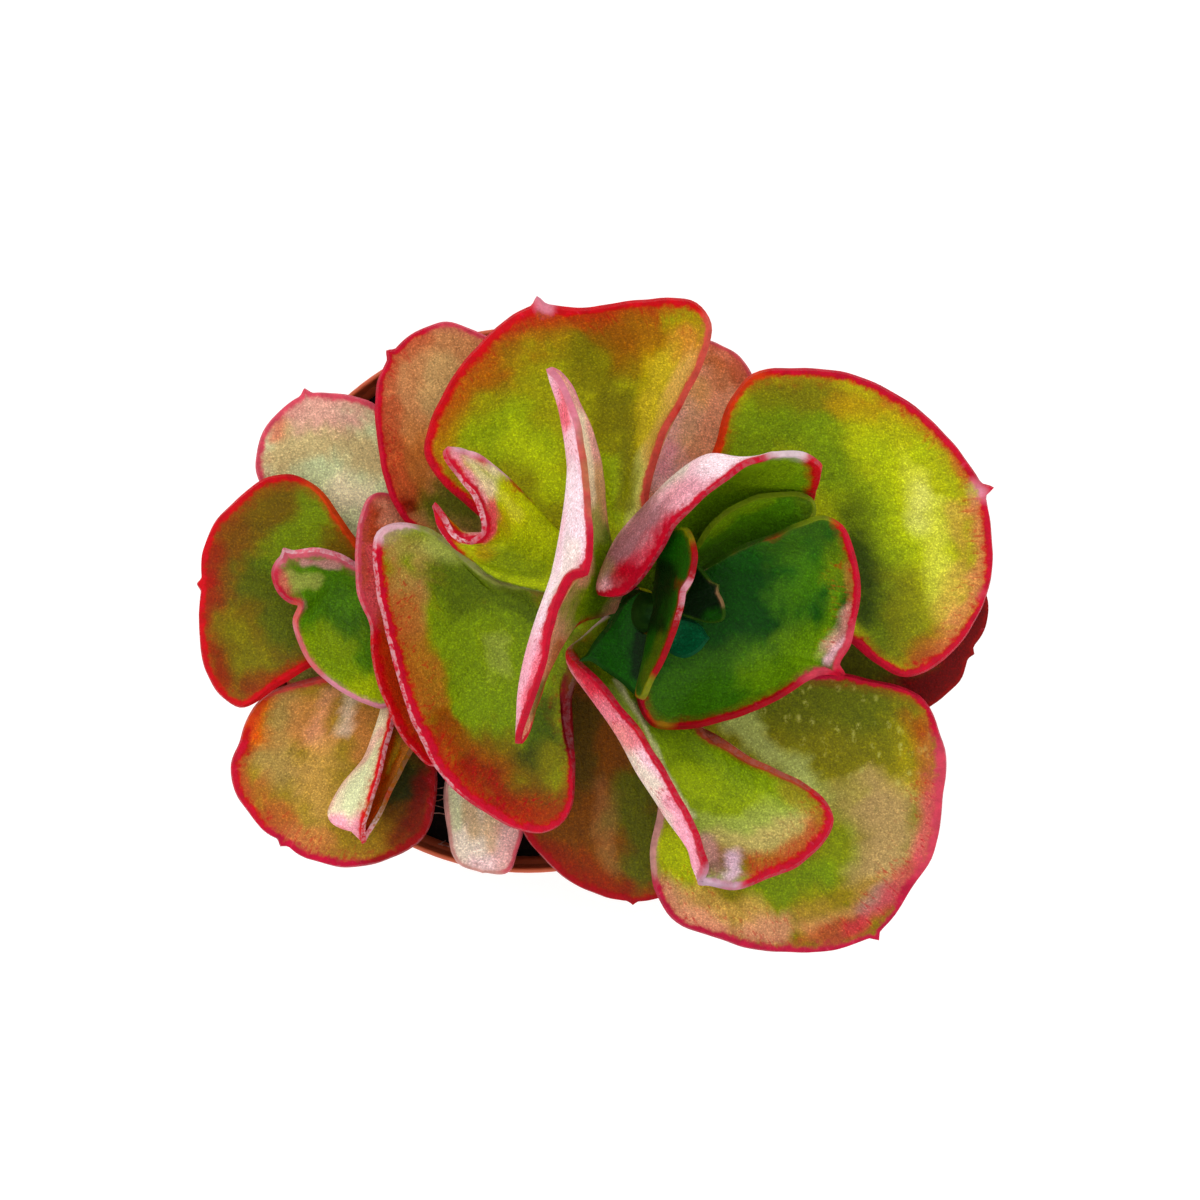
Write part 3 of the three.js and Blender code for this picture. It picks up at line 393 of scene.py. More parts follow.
LEAVES["leaf_south_folded"] = dict(
    tip=(43.3, -71.2, 51),
    left=[(30, -9, 24), (36, -20, 26), (40.5, -28, 30), (44.6, -33, 34), (49.5, -36.4, 38),
        (55.7, -40, 41), (62.4, -43, 43), (68.6, -46, 45), (73.6, -50, 46), (75.9, -55, 47),
        (73.5, -60.5, 47), (67, -66.4, 48), (60, -69.3, 49), (52, -72, 50), (47, -71.7, 51)],
    left_fold=[(27, -8, 24), (33, -22, 27), (40, -33, 31), (46, -41, 34), (53, -48, 37), (57, -55, 40),
        (53, -62, 44), (46, -68, 48)],
    rib=[(25, -7, 25), (29.5, -25, 31), (34, -38, 36), (39, -52, 40), (42.5, -64, 46)],
    right_fold=[(19, -8, 28), (15, -16, 36), (19, -24, 40), (24.5, -33, 44), (29, -42, 46), (34, -50, 48),
        (38.5, -58, 48), (41.8, -66, 49)],
    right=[(20, -4, 28), (15, -8, 32), (10.5, -12.2, 38), (12, -15, 44), (17, -19.5, 48), (22.5, -26, 51),
        (28, -33, 54), (32, -40, 56), (36.5, -47.5, 58), (40, -54, 58), (43, -61, 56), (44.7, -67, 53)],
)
LEAVES["leaf_west_upright"] = dict(
    tip=(14.5, 7, 86),
    left=[(23, -3, 34), (17, -4.5, 38), (12, -7, 45), (8, -12, 50), (4.5, -19, 56), (1.5, -27, 62),
        (-0.5, -34, 67), (-2.5, -36, 70), (-1.5, -31, 74), (1.2, -24, 78), (4, -16, 81), (6, -7, 83),
        (8, 1, 85), (11, 6.3, 86)],
    left_fold=[(23.5, 0, 33), (15.5, -1, 40), (8.5, -5.5, 50), (4, -10.5, 59), (0.7, -16, 66),
        (2.4, -12, 73), (5, -3, 79), (11, 5, 84)],
    rib=[(24, 3, 32), (13.5, 4, 46), (8.3, 5, 58), (8.8, 6, 70), (12.2, 7, 80)],
    right_fold=[(24, 5, 33), (17.5, 12, 40), (13.8, 21, 50), (12.4, 28, 59), (11.8, 33, 66),
        (12.4, 30, 73), (13.2, 21, 79), (14, 11, 84)],
    right=[(22.5, 6.5, 33.5), (20, 14.5, 37), (19, 25, 42), (18, 34, 48), (15.5, 43, 55), (12, 51, 61),
        (8, 57, 66), (5, 58, 70), (7.5, 55.5, 74), (10.5, 49, 77), (12.8, 41, 80), (14.2, 31, 83),
        (15.4, 20, 85), (15.6, 12, 86)],
    thickness=5,
)
LEAVES["leaf_east_dish"] = dict(
    tip=(78.3, -18.3, 50),
    left=[(33, 0, 37), (38, 4, 41), (47.4, 10, 46), (55, 13.8, 49), (62, 16.6, 52), (68, 19, 54),
        (74, 20.9, 55), (78.5, 18.5, 55), (81.3, 11, 55), (82.8, 4, 54), (81.8, -4, 53),
        (80.6, -10.7, 52), (78.5, -15, 51)],
    rib=[(31, -5, 36), (42, -9, 35), (52, -11, 36), (62, -13, 38), (71, -16, 43)],
    right=[(30, -10, 36), (27.8, -19, 38), (28, -26.5, 40), (31.5, -31.4, 41), (38, -32, 42),
        (44, -31, 44), (50, -29.5, 45), (56, -27.5, 46), (62, -24.7, 47), (70, -19.7, 48),
        (74, -18.4, 49)],
    cup=3.5, thickness=5,
)
LEAVES["leaf_northeast_inner"] = dict(
    tip=(71.5, 19, 50),
    left=[(31, 4, 35), (38, 10, 40), (42, 13.4, 43.5), (45.3, 18, 46), (50.3, 22.3, 48),
        (56.9, 25.6, 49.2), (63.5, 26.6, 50.5), (68, 26.4, 51.6), (71.2, 24.9, 51.4), (72.2, 22.2, 50.5)],
    rib=[(33, 1, 33.5), (44, 9, 34), (54, 14, 37), (62, 17.5, 42), (67, 19, 46)],
    right=[(34, -2, 33), (45, 2, 32.1), (55, 4, 33.5), (62, 8, 37), (67, 12.5, 43), (70, 15.5, 47.5)],
    thickness=3.4,
)
LEAVES["leaf_heart_west"] = dict(
    tip=(13, -15, 49.5),
    left=[(31, -8, 44), (29.5, -16, 45), (27.8, -23.5, 46), (24, -20.5, 47), (19, -17, 48),
        (15, -15.3, 49)],
    rib=[(30, -3, 43.5), (25, -8, 43.5), (20, -12, 45.5), (16, -14, 48)],
    right=[(28, 2, 44), (24, -1, 45), (21, -5.5, 46), (17, -10.5, 48), (14, -14, 49)], cup=0.8,
    thickness=2.8,
)
LEAVES["leaf_heart_side"] = dict(
    tip=(46, -9.3, 47), left=[(33.5, -3.5, 42), (39, -5, 43), (43, -6.5, 45)],
    rib=[(32.3, -5.5, 41.3), (38, -9, 42), (42, -10, 44)],
    right=[(32, -8, 42), (36, -13, 44), (39, -14, 45.5), (43, -12.5, 46.5)], cup=0.8, thickness=2.4,
)
LEAVES["leaf_heart_small"] = dict(
    tip=(47.8, 3.9, 52.5), left=[(33, 2, 43.5), (37, 7, 46.5), (41, 9.3, 49), (44.5, 7, 51)],
    rib=[(33.5, -0.5, 43), (38.5, 1.5, 46), (43, 2.3, 49.3)],
    right=[(35, -2.8, 43.5), (40, -4.5, 46.5), (45, -5.8, 49), (48.8, -4.8, 51), (49.2, -1, 52)], cup=0.5,
    thickness=2.2,
)
LEAVES["leaf_heart_tall"] = dict(
    tip=(38.8, 2.6, 73),
    left=[(33, 1, 46), (33, 9, 49), (34, 15, 54), (36.6, 17.6, 58), (39.5, 18, 63), (41.3, 14, 67),
        (41.8, 10, 70), (41, 6, 72)],
    rib=[(32, -3, 45), (34.5, -1.5, 54), (37, 0, 62), (38.3, 2, 69)],
    right=[(32, -6, 46), (30.5, -12, 49), (28.5, -19, 54), (27.5, -24, 58), (28.5, -24.6, 61),
        (31.6, -19, 64), (34.5, -13, 67), (37, -6, 70), (38.3, -1, 72)],
    cup=0.5, thickness=3.2,
)
LEAVES["offset_leaf_north"] = dict(
    tip=(-56, 52.8, 11),
    left=[(-33, 0, -1), (-48, 12, 1), (-60, 20, 5), (-67, 30, 8), (-67.6, 37, 9), (-65.8, 42.8, 10),
        (-61, 48.5, 10.5)],
    rib=[(-28, -1, -1), (-42, 16, 1), (-49, 30, 4), (-53, 42, 8)],
    right=[(-25, 2, -1), (-31, 18, 3), (-32.5, 32, 6), (-34, 42, 8), (-38.5, 48.8, 9.5),
        (-44.6, 51, 10.5), (-50, 51.8, 11)],
    cup=1.8, thickness=4.8,
)
LEAVES["offset_leaf_west"] = dict(
    tip=(-83.3, 4.1, 14),
    left=[(-33, -6, 4), (-46, -13, 8), (-54.4, -16.3, 11), (-61.5, -20.6, 12.5), (-68.2, -25.2, 13.5),
        (-72.3, -26.5, 14), (-76.5, -24, 14), (-80.7, -17, 14), (-82.2, -8, 14), (-82.4, -1, 14)],
    rib=[(-30, -3, 4), (-48, 0, 6), (-60, 1, 8.5), (-72, 2.5, 11.5)],
    right=[(-31, 1, 4.5), (-43, 14.5, 9), (-47.4, 21, 11), (-53, 28, 13), (-59.8, 31.2, 14),
        (-66, 30, 14.5), (-72, 25.6, 14.5), (-77.7, 20, 14.5), (-81, 13, 14.5)],
    thickness=4.6,
)
LEAVES["offset_leaf_south"] = dict(
    tip=(-62.3, -62.2, 12),
    left=[(-24, -9, -1), (-24.5, -22, 1.5), (-23.5, -33, 4), (-23, -42, 6), (-23.3, -50, 7.5),
        (-25, -57, 9), (-29, -61.5, 10), (-37.5, -65.5, 11), (-46, -66.6, 11.5), (-55.9, -64.5, 12)],
    rib=[(-27, -6, -1), (-38, -22, 1), (-47, -36, 4), (-55, -50, 8)],
    right=[(-31, -6, -1), (-43, -14, 1.5), (-52, -19.3, 4.5), (-61.5, -22, 7), (-67.7, -26, 8.5),
        (-70.5, -31, 9.5), (-72, -35.5, 10.5), (-74.3, -41, 11), (-72.3, -49.7, 12), (-67, -56.8, 12)],
    cup=1.5,
)
LEAVES["offset_leaf_low"] = dict(
    tip=(-62.5, -18.5, -1.5), left=[(-27, -9, -6), (-40, -18, -5), (-52, -23, -3), (-59.5, -22.5, -1.5)],
    rib=[(-26, -5, -6), (-40, -11, -5), (-54, -16, -3)],
    right=[(-27, -1, -6), (-44, -6, -4), (-56, -9, -2.5), (-60.5, -13, -1.5)], cup=0.8, thickness=3,
)
LEAVES["offset_leaf_folded"] = dict(
    tip=(-40.9, -60.9, 26),
    left=[(-26.5, -9, 8), (-27, -25, 12), (-29, -37, 17), (-33.5, -46, 21), (-38, -55, 24.5)],
    left_fold=[(-28, -7.5, 6), (-30, -27, 8.5), (-33.5, -39, 12), (-38, -49, 15.5), (-41, -57, 20.5)],
    rib=[(-29.5, -6, 5), (-33.3, -27, 6.3), (-36.8, -40, 9), (-41.8, -50, 12.5), (-44.5, -56, 17.5)],
    right_fold=[(-31.5, -7.5, 6.5), (-35, -25, 9), (-37.8, -34, 12.5), (-40.5, -40.5, 15), (-46, -47, 18),
        (-49.5, -54.5, 20), (-47.8, -60.5, 22), (-44, -61.2, 24)],
    right=[(-31, -9.5, 7.3), (-32.2, -18, 9), (-33, -25, 13), (-33.9, -30, 17), (-35, -35, 20.5),
        (-37, -43, 25.5), (-39, -50, 29), (-41, -56, 29)],
    thickness=2.6,
)
LEAVES["offset_leaf_inner"] = dict(
    tip=(-60.8, 12.3, 22),
    left=[(-29, -9, 9), (-31, -18, 13), (-35.5, -26.8, 16), (-40, -26, 17), (-46.2, -22.7, 18),
        (-52.9, -17.6, 18), (-55.9, -13, 17.5), (-58.2, -5.3, 17.5), (-57, -1.3, 18), (-59.8, -0.3, 19),
        (-62.2, 1.7, 20), (-63.9, 6.5, 21.5), (-63, 9.8, 22)],
    rib=[(-30, -4, 9), (-40, 1, 10), (-48, 4, 12), (-56, 6.5, 16)],
    right=[(-30, 0, 10), (-37, 6, 13.5), (-43, 9, 17), (-48.6, 11.4, 20), (-54, 12.6, 22)], thickness=3.4,
)

# How each leaf is coloured, as strokes laid over each other. A stroke is a colour or a number, its
# reach in mm, its strength, and its line on the rim's plane as seen from the eye. The first one
# covers all and is the colour or number alone. "skin" is the upper face and "back" the lower one,
# "hem" the margin's colour, "band" its width in mm, "frost_and_highlight" its pale outermost line, partly
# the leaf's own frosty edge and partly a painted rim highlight, "dots" the strength of pale dots and
# "mottle" that of crimson marks. What a leaf doesn't name is as USUAL. Some strokes are painted
# shade or painted highlights, and a comment beside each says so.
LOOKS = {}
LOOKS["leaf_north_broad"] = dict(
    skin=[("citron",), ("umber", 13, 0.9, [(-22, 52), (-14, 60), (-6, 66), (4, 69), (14, 70), (26, 70)]),
        ("olive", 9, 0.9, [(13, 64), (17, 56), (21, 48), (22, 38)]),
        ("rust", 6, 0.5, [(18, 69), (26, 64), (25, 58)]),
        ("sienna", 5, 0.8, [(-6, 67), (0, 70.5), (8, 71), (20, 73), (36, 73)]),
        ("grass", 9, 0.95, [(-12, 40), (-5, 42), (2, 38)]),
        ("lime", 6, 0.9, [(-1, 39), (4, 33), (7, 27)]), ("grass", 9, 0.9, [(16, 18), (20, 25), (19, 32)]),
        ("gold", 8, 0.95, [(31, 34), (33, 48), (36, 60)]),
        ("pale_straw", 4, 0.8, [(27.5, 18), (28.5, 28), (29, 34)]),
        ("copper", 6, 0.8, [(38, 68), (42, 62)]), ("umber", 5, 0.8, [(27, 70), (31, 66)]),
        ("peach", 3, 0.8, [(41, 60), (36, 48), (31, 36)]),
        # This olive line is painted shade along the crease of the fold
        ("olive", 3, 0.8, [(24.5, 24), (25, 40), (23.5, 52)]),
        ("orange_brown", 5, 0.45, [(-22, 36), (-21, 44), (-17, 52), (-10, 59)])],
    hem=[("scarlet",), ("coral", 8, 1, [(45, 68), (40, 54), (33, 42), (29.5, 30), (27, 18)]),
        ("crimson", 8, 0.6, [(-25, 36), (-18, 25)]), ("pink", 3, 0.8, [(3, 76), (5, 72.5)])],
    band=[(2.2,), (1.1, 10, 1, [(45, 68), (33, 42), (28, 20)]), (1.3, 9, 1, [(14, 73), (28, 75)]),
        (3, 6, 0.8, [(-14, 62)])],
    mottle=[(0,), (0.7, 5, 1, [(-20, 52), (-6, 68), (20, 72), (40, 70)])],
)
LOOKS["leaf_northwest_low"] = dict(
    skin=[("fawn",), ("tan", 12, 0.9, [(-28, 36), (-30, 30)]), ("clay", 8, 0.8, [(-29, 34), (-28, 28)]),
        ("sand", 6, 0.8, [(-22, 58), (-23, 50)]), ("moss", 9, 0.9, [(-22, 24), (-12, 26), (-5, 24)]),
        ("brick", 5, 0.8, [(-36, 56), (-36, 46), (-34, 36), (-31, 27)]),
        ("fawn", 5, 0.6, [(-15, 66), (-20, 67)]), ("brick", 4, 0.6, [(-26, 66), (-32, 62)]),
        ("maroon", 3, 0.8, [(-30, 23), (-32, 22)])],
    hem=[("crimson",), ("rose", 8, 0.8, [(-20, 69), (-10, 67)])], band=[(1.3,)],
    mottle=[(0,), (0.7, 5, 1, [(-30, 64), (-37, 50), (-34, 34)])],
)
LOOKS["leaf_north_low"] = dict(
    skin=[("salmon",), ("brick", 7, 0.8, [(47, 64), (53, 60), (56, 54)]),
        ("petal", 6, 0.7, [(40, 46), (37, 40), (34, 30)]), ("peach", 5, 0.6, [(43, 52), (39, 40)]),
        ("clay", 4, 0.6, [(46, 60), (49, 53)]), ("pink", 3, 0.6, [(34, 33), (36, 38)])],
    hem=[("brick",), ("rose", 10, 0.6, [(47, 65), (56, 56)])], band=[(0.8,)],
)
LOOKS["leaf_east_broad"] = dict(
    skin=[("chartreuse",), ("fern", 16, 1, [(54, 40), (62, 44), (70, 44)]),
        ("olive", 6, 0.9, [(60, 53), (68, 51), (76, 51)]),
        ("ochre", 6, 0.9, [(80, 49), (88, 46), (96, 43)]),
        ("brick", 4, 0.7, [(92, 49), (100, 44), (106, 38), (109, 33)]),
        ("lime", 10, 0.6, [(85, 38), (96, 38)]), ("fern", 7, 0.9, [(74, 38), (76, 32)]),
        ("straw", 9, 0.95, [(97, 28), (101, 18), (103, 9), (104, 2)]),
        # The acid stroke is a painted lit band, where the dish turns towards the light, and pale_straw is a
        # painted highlight
        ("acid", 8, 0.7, [(88, 28), (91, 20), (94, 12)]), ("pale_straw", 5, 0.5, [(99, 26), (97, 20)]),
        ("tan", 5, 0.5, [(107, 22), (109, 10), (107, 2), (104, -4)]),
        ("rose", 4, 0.45, [(113, 24), (114, 12), (111, 0), (106, -10), (100, -15)]),
        # The fern, moss and bottle strokes from (76, 32) down to (90, -8) are painted shade, cast by the
        # leaf above on this leaf's middle
        ("fern", 12, 0.7, [(76, 32), (84, 18), (88, 4), (90, -8)]),
        ("moss", 7, 0.7, [(80, 20), (84, 10), (87, 2), (87, -8)]),
        ("bottle", 4, 0.9, [(81, 14), (84, 4), (84, -4)]),
        ("olive", 7, 0.7, [(95, 4), (96, -6), (97, -12)]), ("brick", 4, 0.5, [(103, -10), (98, -14)])],
    hem=[("crimson",), ("orange", 9, 0.6, [(47, 40), (51, 50), (57, 56)]), ("pink", 4, 0.9, [(113, 27)]),
        ("rose", 3, 0.6, [(113, 2)])],
    band=[(2,), (1.4, 9, 1, [(48, 40), (51, 50)]), (2.6, 8, 0.8, [(112, 26), (114, 15)]),
        (3.2, 5, 0.6, [(100, -15)]), (1.2, 6, 0.8, [(84, -14), (88, -17)])],
    mottle=[(0,), (0.8, 6, 1, [(100, 42), (112, 28), (113, 8), (106, -12)])],
)
LOOKS["leaf_east_low"] = dict(
    skin=[("olive_brown",), ("moss", 8, 0.7, [(80, -14), (88, -17), (94, -19)]),
        ("maroon", 11, 1, [(114, 0), (111, -10), (105, -18), (100, -24)])],
    hem=[("blood",)], band=[(1.2,)],
)
LOOKS["leaf_southeast_broad"] = dict(
    skin=[("olive",), ("moss", 14, 0.6, [(62, -22), (74, -24), (84, -28)]),
        ("olive", 9, 0.9, [(76, -38), (86, -40)]), ("khaki", 9, 0.9, [(76, -50), (84, -50)]),
        ("grey_tan", 11, 0.95, [(90, -52), (92, -60), (88, -66)]),
        ("mint", 4, 0.6, [(53, -30), (57, -36), (64, -41), (70, -45)]),
        ("sage", 5, 0.8, [(53, -30), (57, -36), (64, -41), (72, -47)]),
        ("gold", 7, 0.3, [(95, -44), (98, -38), (95, -32)]),
        ("leaf_lime", 7, 0.7, [(76, -60), (78, -66)]),
        ("fern", 7, 0.9, [(72, -70), (66, -73), (60, -72)]), ("grey_tan", 5, 0.6, [(82, -70), (88, -68)]),
        ("lime", 7, 0.8, [(36, -60), (38, -68)]), ("peach", 6, 0.6, [(42, -76), (50, -79), (56, -79)]),
        ("salmon", 5, 0.7, [(55, -83), (64, -83)]), ("fawn", 6, 0.8, [(70, -82), (80, -79), (86, -74)]),
        ("bronze", 5, 0.7, [(70, -78), (78, -76), (85, -72)]), ("plum", 4, 0.6, [(84, -78), (89, -74)]),
        ("brick", 4, 0.6, [(68, -85), (76, -83), (83, -81)]), ("wine", 4, 0.5, [(74, -83), (82, -81)]),
        ("berry", 3.5, 0.55, [(82, -82), (89, -77), (94, -71), (97, -66)]),
        ("rose", 3.5, 0.6, [(98, -64), (100, -56), (101.5, -46)]),
        ("clay", 3.5, 0.7, [(99, -46), (100, -38), (98, -31)]), ("rust", 3, 0.6, [(98, -33), (94, -28)]),
        ("salmon", 5, 0.8, [(35, -72), (37, -77), (42, -80), (48, -82)])],
    hem=[("berry",), ("crimson", 9, 0.8, [(80, -20), (94, -23), (100, -28)]),
        ("rose", 9, 0.7, [(104, -40), (100, -62)]), ("dusty_pink", 8, 1, [(34, -55), (31.5, -64)])],
    band=[(1.4,), (3.2, 12, 0.9, [(103, -42), (101, -58), (97, -70)]),
        (2.2, 8, 0.7, [(50, -85), (70, -87)]), (0.8, 8, 1, [(33, -55), (31.5, -64)])],
    dots=[(0,), (1, 16, 1, [(62, -26), (78, -30), (90, -38)])],
    mottle=[(0,), (1, 10, 1, [(103, -44), (100, -60), (92, -74), (80, -84)]),
        (1, 9, 1, [(64, -86), (46, -82), (35, -72)])],
)
LOOKS["leaf_south_folded"] = dict(
    skin=[("leaf_lime",), ("fern", 7, 0.8, [(34, -34), (40, -36), (50, -42), (56, -46)]),
        ("lime", 8, 0.4, [(42, -46), (50, -52), (58, -50)]), ("sage", 7, 0.6, [(62, -52), (54, -57)]),
        ("sage", 6, 0.7, [(44, -56), (56, -58), (66, -56)]),
        ("sand", 5, 0.6, [(48, -61), (58, -61), (68, -58)]),
        ("clay", 3.5, 0.7, [(56, -67), (64, -65), (71, -58)]), ("wine", 4, 0.6, [(47, -64), (55, -66)]),
        ("plum", 3, 0.6, [(44.5, -61), (47, -67)]), ("dusty_pink", 2, 0.5, [(44.5, -60), (46, -64)]),
        ("brick", 3.5, 0.4, [(73, -54), (71, -60), (66, -64), (58, -67)]),
        ("lilac", 2.6, 0.9, [(51, -64), (52, -68), (50, -70)]),
        ("fern", 5, 0.6, [(54, -42), (60, -45), (64, -48)]), ("bronze", 3, 0.6, [(65, -48), (70, -51)]),
        ("fern", 5, 0.8, [(20, -16), (28, -26), (32, -34)]),
        ("cream", 0.8, 0.6, [(22, -20), (29, -31), (34, -42), (41, -54)]),
        ("sage", 1.6, 0.5, [(21, -22), (27, -31), (31, -38)]),
        # The moss stroke at the base is painted shade inside the fold
        ("moss", 5, 0.8, [(14, -12), (20, -12), (26, -18)])],
    back=[("petal",), ("bone", 4, 0.9, [(22, -33), (30, -46), (36, -56)]),
        ("crimson", 4.5, 0.9, [(12, -15), (17, -22)]), ("rose", 4, 0.7, [(19, -25), (26, -36)]),
        ("pink", 4, 0.9, [(36, -50), (40, -58), (44, -66)])],
    hem=[("crimson",), ("brick", 14, 1, [(40, -28), (50, -36), (62, -43)]),
        ("moss", 6, 1, [(22, -2), (17, -5), (13, -9)]), ("lilac", 5, 1, [(44, -71), (52, -71.5)])],
    band=[(1.6,), (0.9, 14, 1, [(40, -28), (50, -36), (64, -44)]),
        (2.8, 7, 0.9, [(72, -60), (66, -66), (60, -69)]),
        (0.9, 12, 1, [(20, -22), (32, -40), (40, -54)])],
    frost_and_highlight=[(0.1,)],
    mottle=[(0,), (1, 5, 1, [(14, -18), (24, -34), (34, -50)]),
        (0.8, 7, 1, [(56, -68), (66, -64), (73, -54)])],
)
LOOKS["leaf_east_dish"] = dict(
    skin=[("forest",), ("ink_green", 14, 0.7, [(58, 2), (60, -6), (50, -8), (48, 4)]),
        ("fresh_green", 12, 0.5, [(36, -25), (44, -24), (54, -18)]),
        ("light_green", 8, 0.75, [(58, -21), (66, -16), (72, -10)]),
        ("light_green", 4, 0.8, [(70, -15), (75, -8), (77, 2)]), ("sage", 2, 0.5, [(73, -14), (77, -8)]),
        ("fresh_green", 9, 0.7, [(68, 2), (70, 8), (68, 12)]), ("leaf_lime", 4, 0.6, [(76, 6), (77, 13)]),
        ("pine", 8, 0.8, [(62, 14), (72, 17)]), ("tan", 2, 0.5, [(80.5, 8), (81, 0), (79, -6)]),
        ("dusty_pink", 3.5, 0.8, [(76, -12), (79, -7), (80, -3)]),
        ("petal", 2, 0.8, [(75, -15), (79, -10)])],
    hem=[("crimson",), ("rose", 6, 0.8, [(80, -8), (76, -14), (70, -19)]),
        ("cherry", 12, 0.9, [(62, -25), (55, -27), (42, -31)]),
        ("leaf_lime", 6, 1, [(64, 19), (72, 20.5)]), ("pine", 8, 1, [(44, 8), (52, 13), (62, 18)]),
        ("ochre", 4, 0.8, [(34, -31)])],
    band=[(1.3,), (0.3, 11, 1, [(44, 8), (64, 19), (70, 20.5)]), (1.7, 8, 0.6, [(58, -26)])],
    mottle=[(0,), (0.8, 5, 1, [(77, 6), (79, -4), (76, -12)])],
)
LOOKS["leaf_northeast_folded"] = dict(
    skin=[("light_green",), ("leaf_lime", 8, 0.5, [(54, 31), (64, 33)]),
        ("blood", 3.4, 1, [(71.5, 34), (72, 28), (70, 26)])],
    back=[("petal",), ("shell", 7, 0.9, [(44, 33), (52, 36.5), (60, 38), (68, 37)]),
        ("sea_foam", 4, 0.8, [(33, 30), (38, 33)]), ("mauve", 5, 0.7, [(36, 25), (42, 29)]),
        ("plum", 7, 0.9, [(31, 20), (24, 12), (20, 8)]),
        ("berry", 3.5, 0.8, [(35, 19), (30, 13), (26, 8)]), ("cherry", 4, 0.8, [(22, 4), (25, 6)]),
        ("sage", 2.5, 0.5, [(19, 9), (18.5, 6)])],
    hem=[("crimson",), ("scarlet", 5, 0.8, [(72, 34), (71, 27)]), ("shell", 4, 1, [(62, 37), (67, 37)])],
    band=[(1.2,), (2.8, 6, 0.9, [(22, 2), (30, 11), (36, 19)]), (2.4, 5, 1, [(72, 34), (71, 27)])],
    frost_and_highlight=[(0.15,)],
)
LOOKS["leaf_northeast_inner"] = dict(
    skin=[("fresh_green",), ("leaf_lime", 3, 0.5, [(46, 18), (52, 23), (60, 26)]),
        ("pine", 6, 0.7, [(48, 8), (58, 14), (68, 17)]), ("moss", 4, 0.7, [(69, 25), (71, 21)])],
    hem=[("leaf_lime",)], band=[(0.3,)],
)
LOOKS["leaf_heart_tall"] = dict(
    # The black_green stroke along the base is painted shade of the plant's heart
    skin=[("forest",), ("black_green", 3.5, 0.9, [(34, 8), (33, 0), (31.5, -6)]),
        ("moss", 4, 0.8, [(33, -12), (30, -19)]), ("wine", 1.6, 0.6, [(38.5, 4), (38.5, 0), (36, -8)])],
    back=[("moss",), ("wine", 3, 0.5, [(37.5, 4), (36, -8)])],
    hem=[("cherry",), ("fern", 6, 1, [(38, 18), (36, 17)]), ("leaf_lime", 4, 0.9, [(29, -22)]),
        ("pink", 2, 0.7, [(40, 4), (39, 0)])],
    band=[(0.7,)], frost_and_highlight=[(0,), (0.35, 4, 1, [(40, 4), (37.5, -3)])],
)
LOOKS["leaf_heart_small"] = dict(
    # The near-black ground is painted shade of the plant's heart over the leaf's deep green
    skin=[("black_green",), ("forest", 3, 0.8, [(46, -4), (48, -5)])],
    hem=[("pine",), ("salmon", 3, 0.6, [(46, 2), (47, 0)])], band=[(0.3,)],
)
LOOKS["leaf_heart_west"] = dict(
    skin=[("forest",), ("moss", 4, 0.7, [(15, -5), (20, 0)]),
        # The black_green stroke is painted shade of the plant's heart
        ("black_green", 2.5, 0.9, [(28.5, -5), (27.5, -18)])],
    hem=[("forest",)], band=[(0.2,)],
)
LOOKS["leaf_heart_side"] = dict(
    skin=[("teal",), ("forest", 3, 0.7, [(44, -5), (42, -5)])], hem=[("teal",)], band=[(0.2,)],
)
LOOKS["leaf_west_upright"] = dict(
    skin=[("salmon",), ("dusty_pink", 8, 0.9, [(13, 52), (15, 40)]),
        ("tan", 5, 0.7, [(16, 27), (15, 20)]), ("sand", 3, 0.7, [(18, 32), (18, 24)]),
        ("fresh_green", 6, 0.9, [(20, 15), (22, 10)]), ("sage", 3, 0.8, [(17, 22), (16, 14)]),
        ("khaki", 4, 0.8, [(12.5, 2), (11, -8)]), ("fern", 6, 1, [(19, 8), (17, 2), (15, -5)]),
        ("pine", 4, 0.5, [(21, 6), (19, 0), (17, -5)]), ("clay", 4, 0.8, [(8, -12), (6, -18)]),
        ("moss", 4, 0.9, [(4, -22), (2, -28)]), ("cream", 1.5, 0.8, [(13, 46), (15, 34), (16, 24)])],
    back=[("petal",), ("shell", 5, 0.9, [(10, 30), (12, 20), (8, 6), (5, -5)]),
        ("pink", 6, 0.8, [(7, 52), (8, 46)]), ("pink", 5, 0.6, [(0, -14), (-2, -28)]),
        ("rose", 1.6, 0.8, [(9, 53), (10, 44)]), ("rose", 1.2, 0.6, [(7, 48), (8, 42)]),
        ("rose", 1.6, 0.7, [(6, -6), (3, -14), (-1, -26)]), ("bone", 4, 0.5, [(11, 12), (8, 0)])],
    hem=[("crimson",), ("rose", 6, 0.5, [(14, 34), (14.5, 22)]),
        ("pink", 9, 0.8, [(5, 58), (10, 52), (12, 44)]),
        ("fawn", 6, 1, [(19, 25), (18, 34), (15.5, 43)])],
    band=[(0.9,), (2.6, 6, 1, [(11, 7), (8, 0), (6, -8)]), (0.8, 9, 0.9, [(9, 54), (12, 46)]),
        (1.6, 8, 0.8, [(-1, -34), (1, -24)]), (0.3, 6, 1, [(19, 25), (18, 34), (15.5, 43)])],
    mottle=[(0,), (1, 4, 1, [(7, 52), (9.5, 42), (11, 34)]), (0.5, 3, 1, [(12, 26), (11, 14)]),
        (1, 5, 1, [(2, -12), (-1, -22), (-2, -33)])],
)
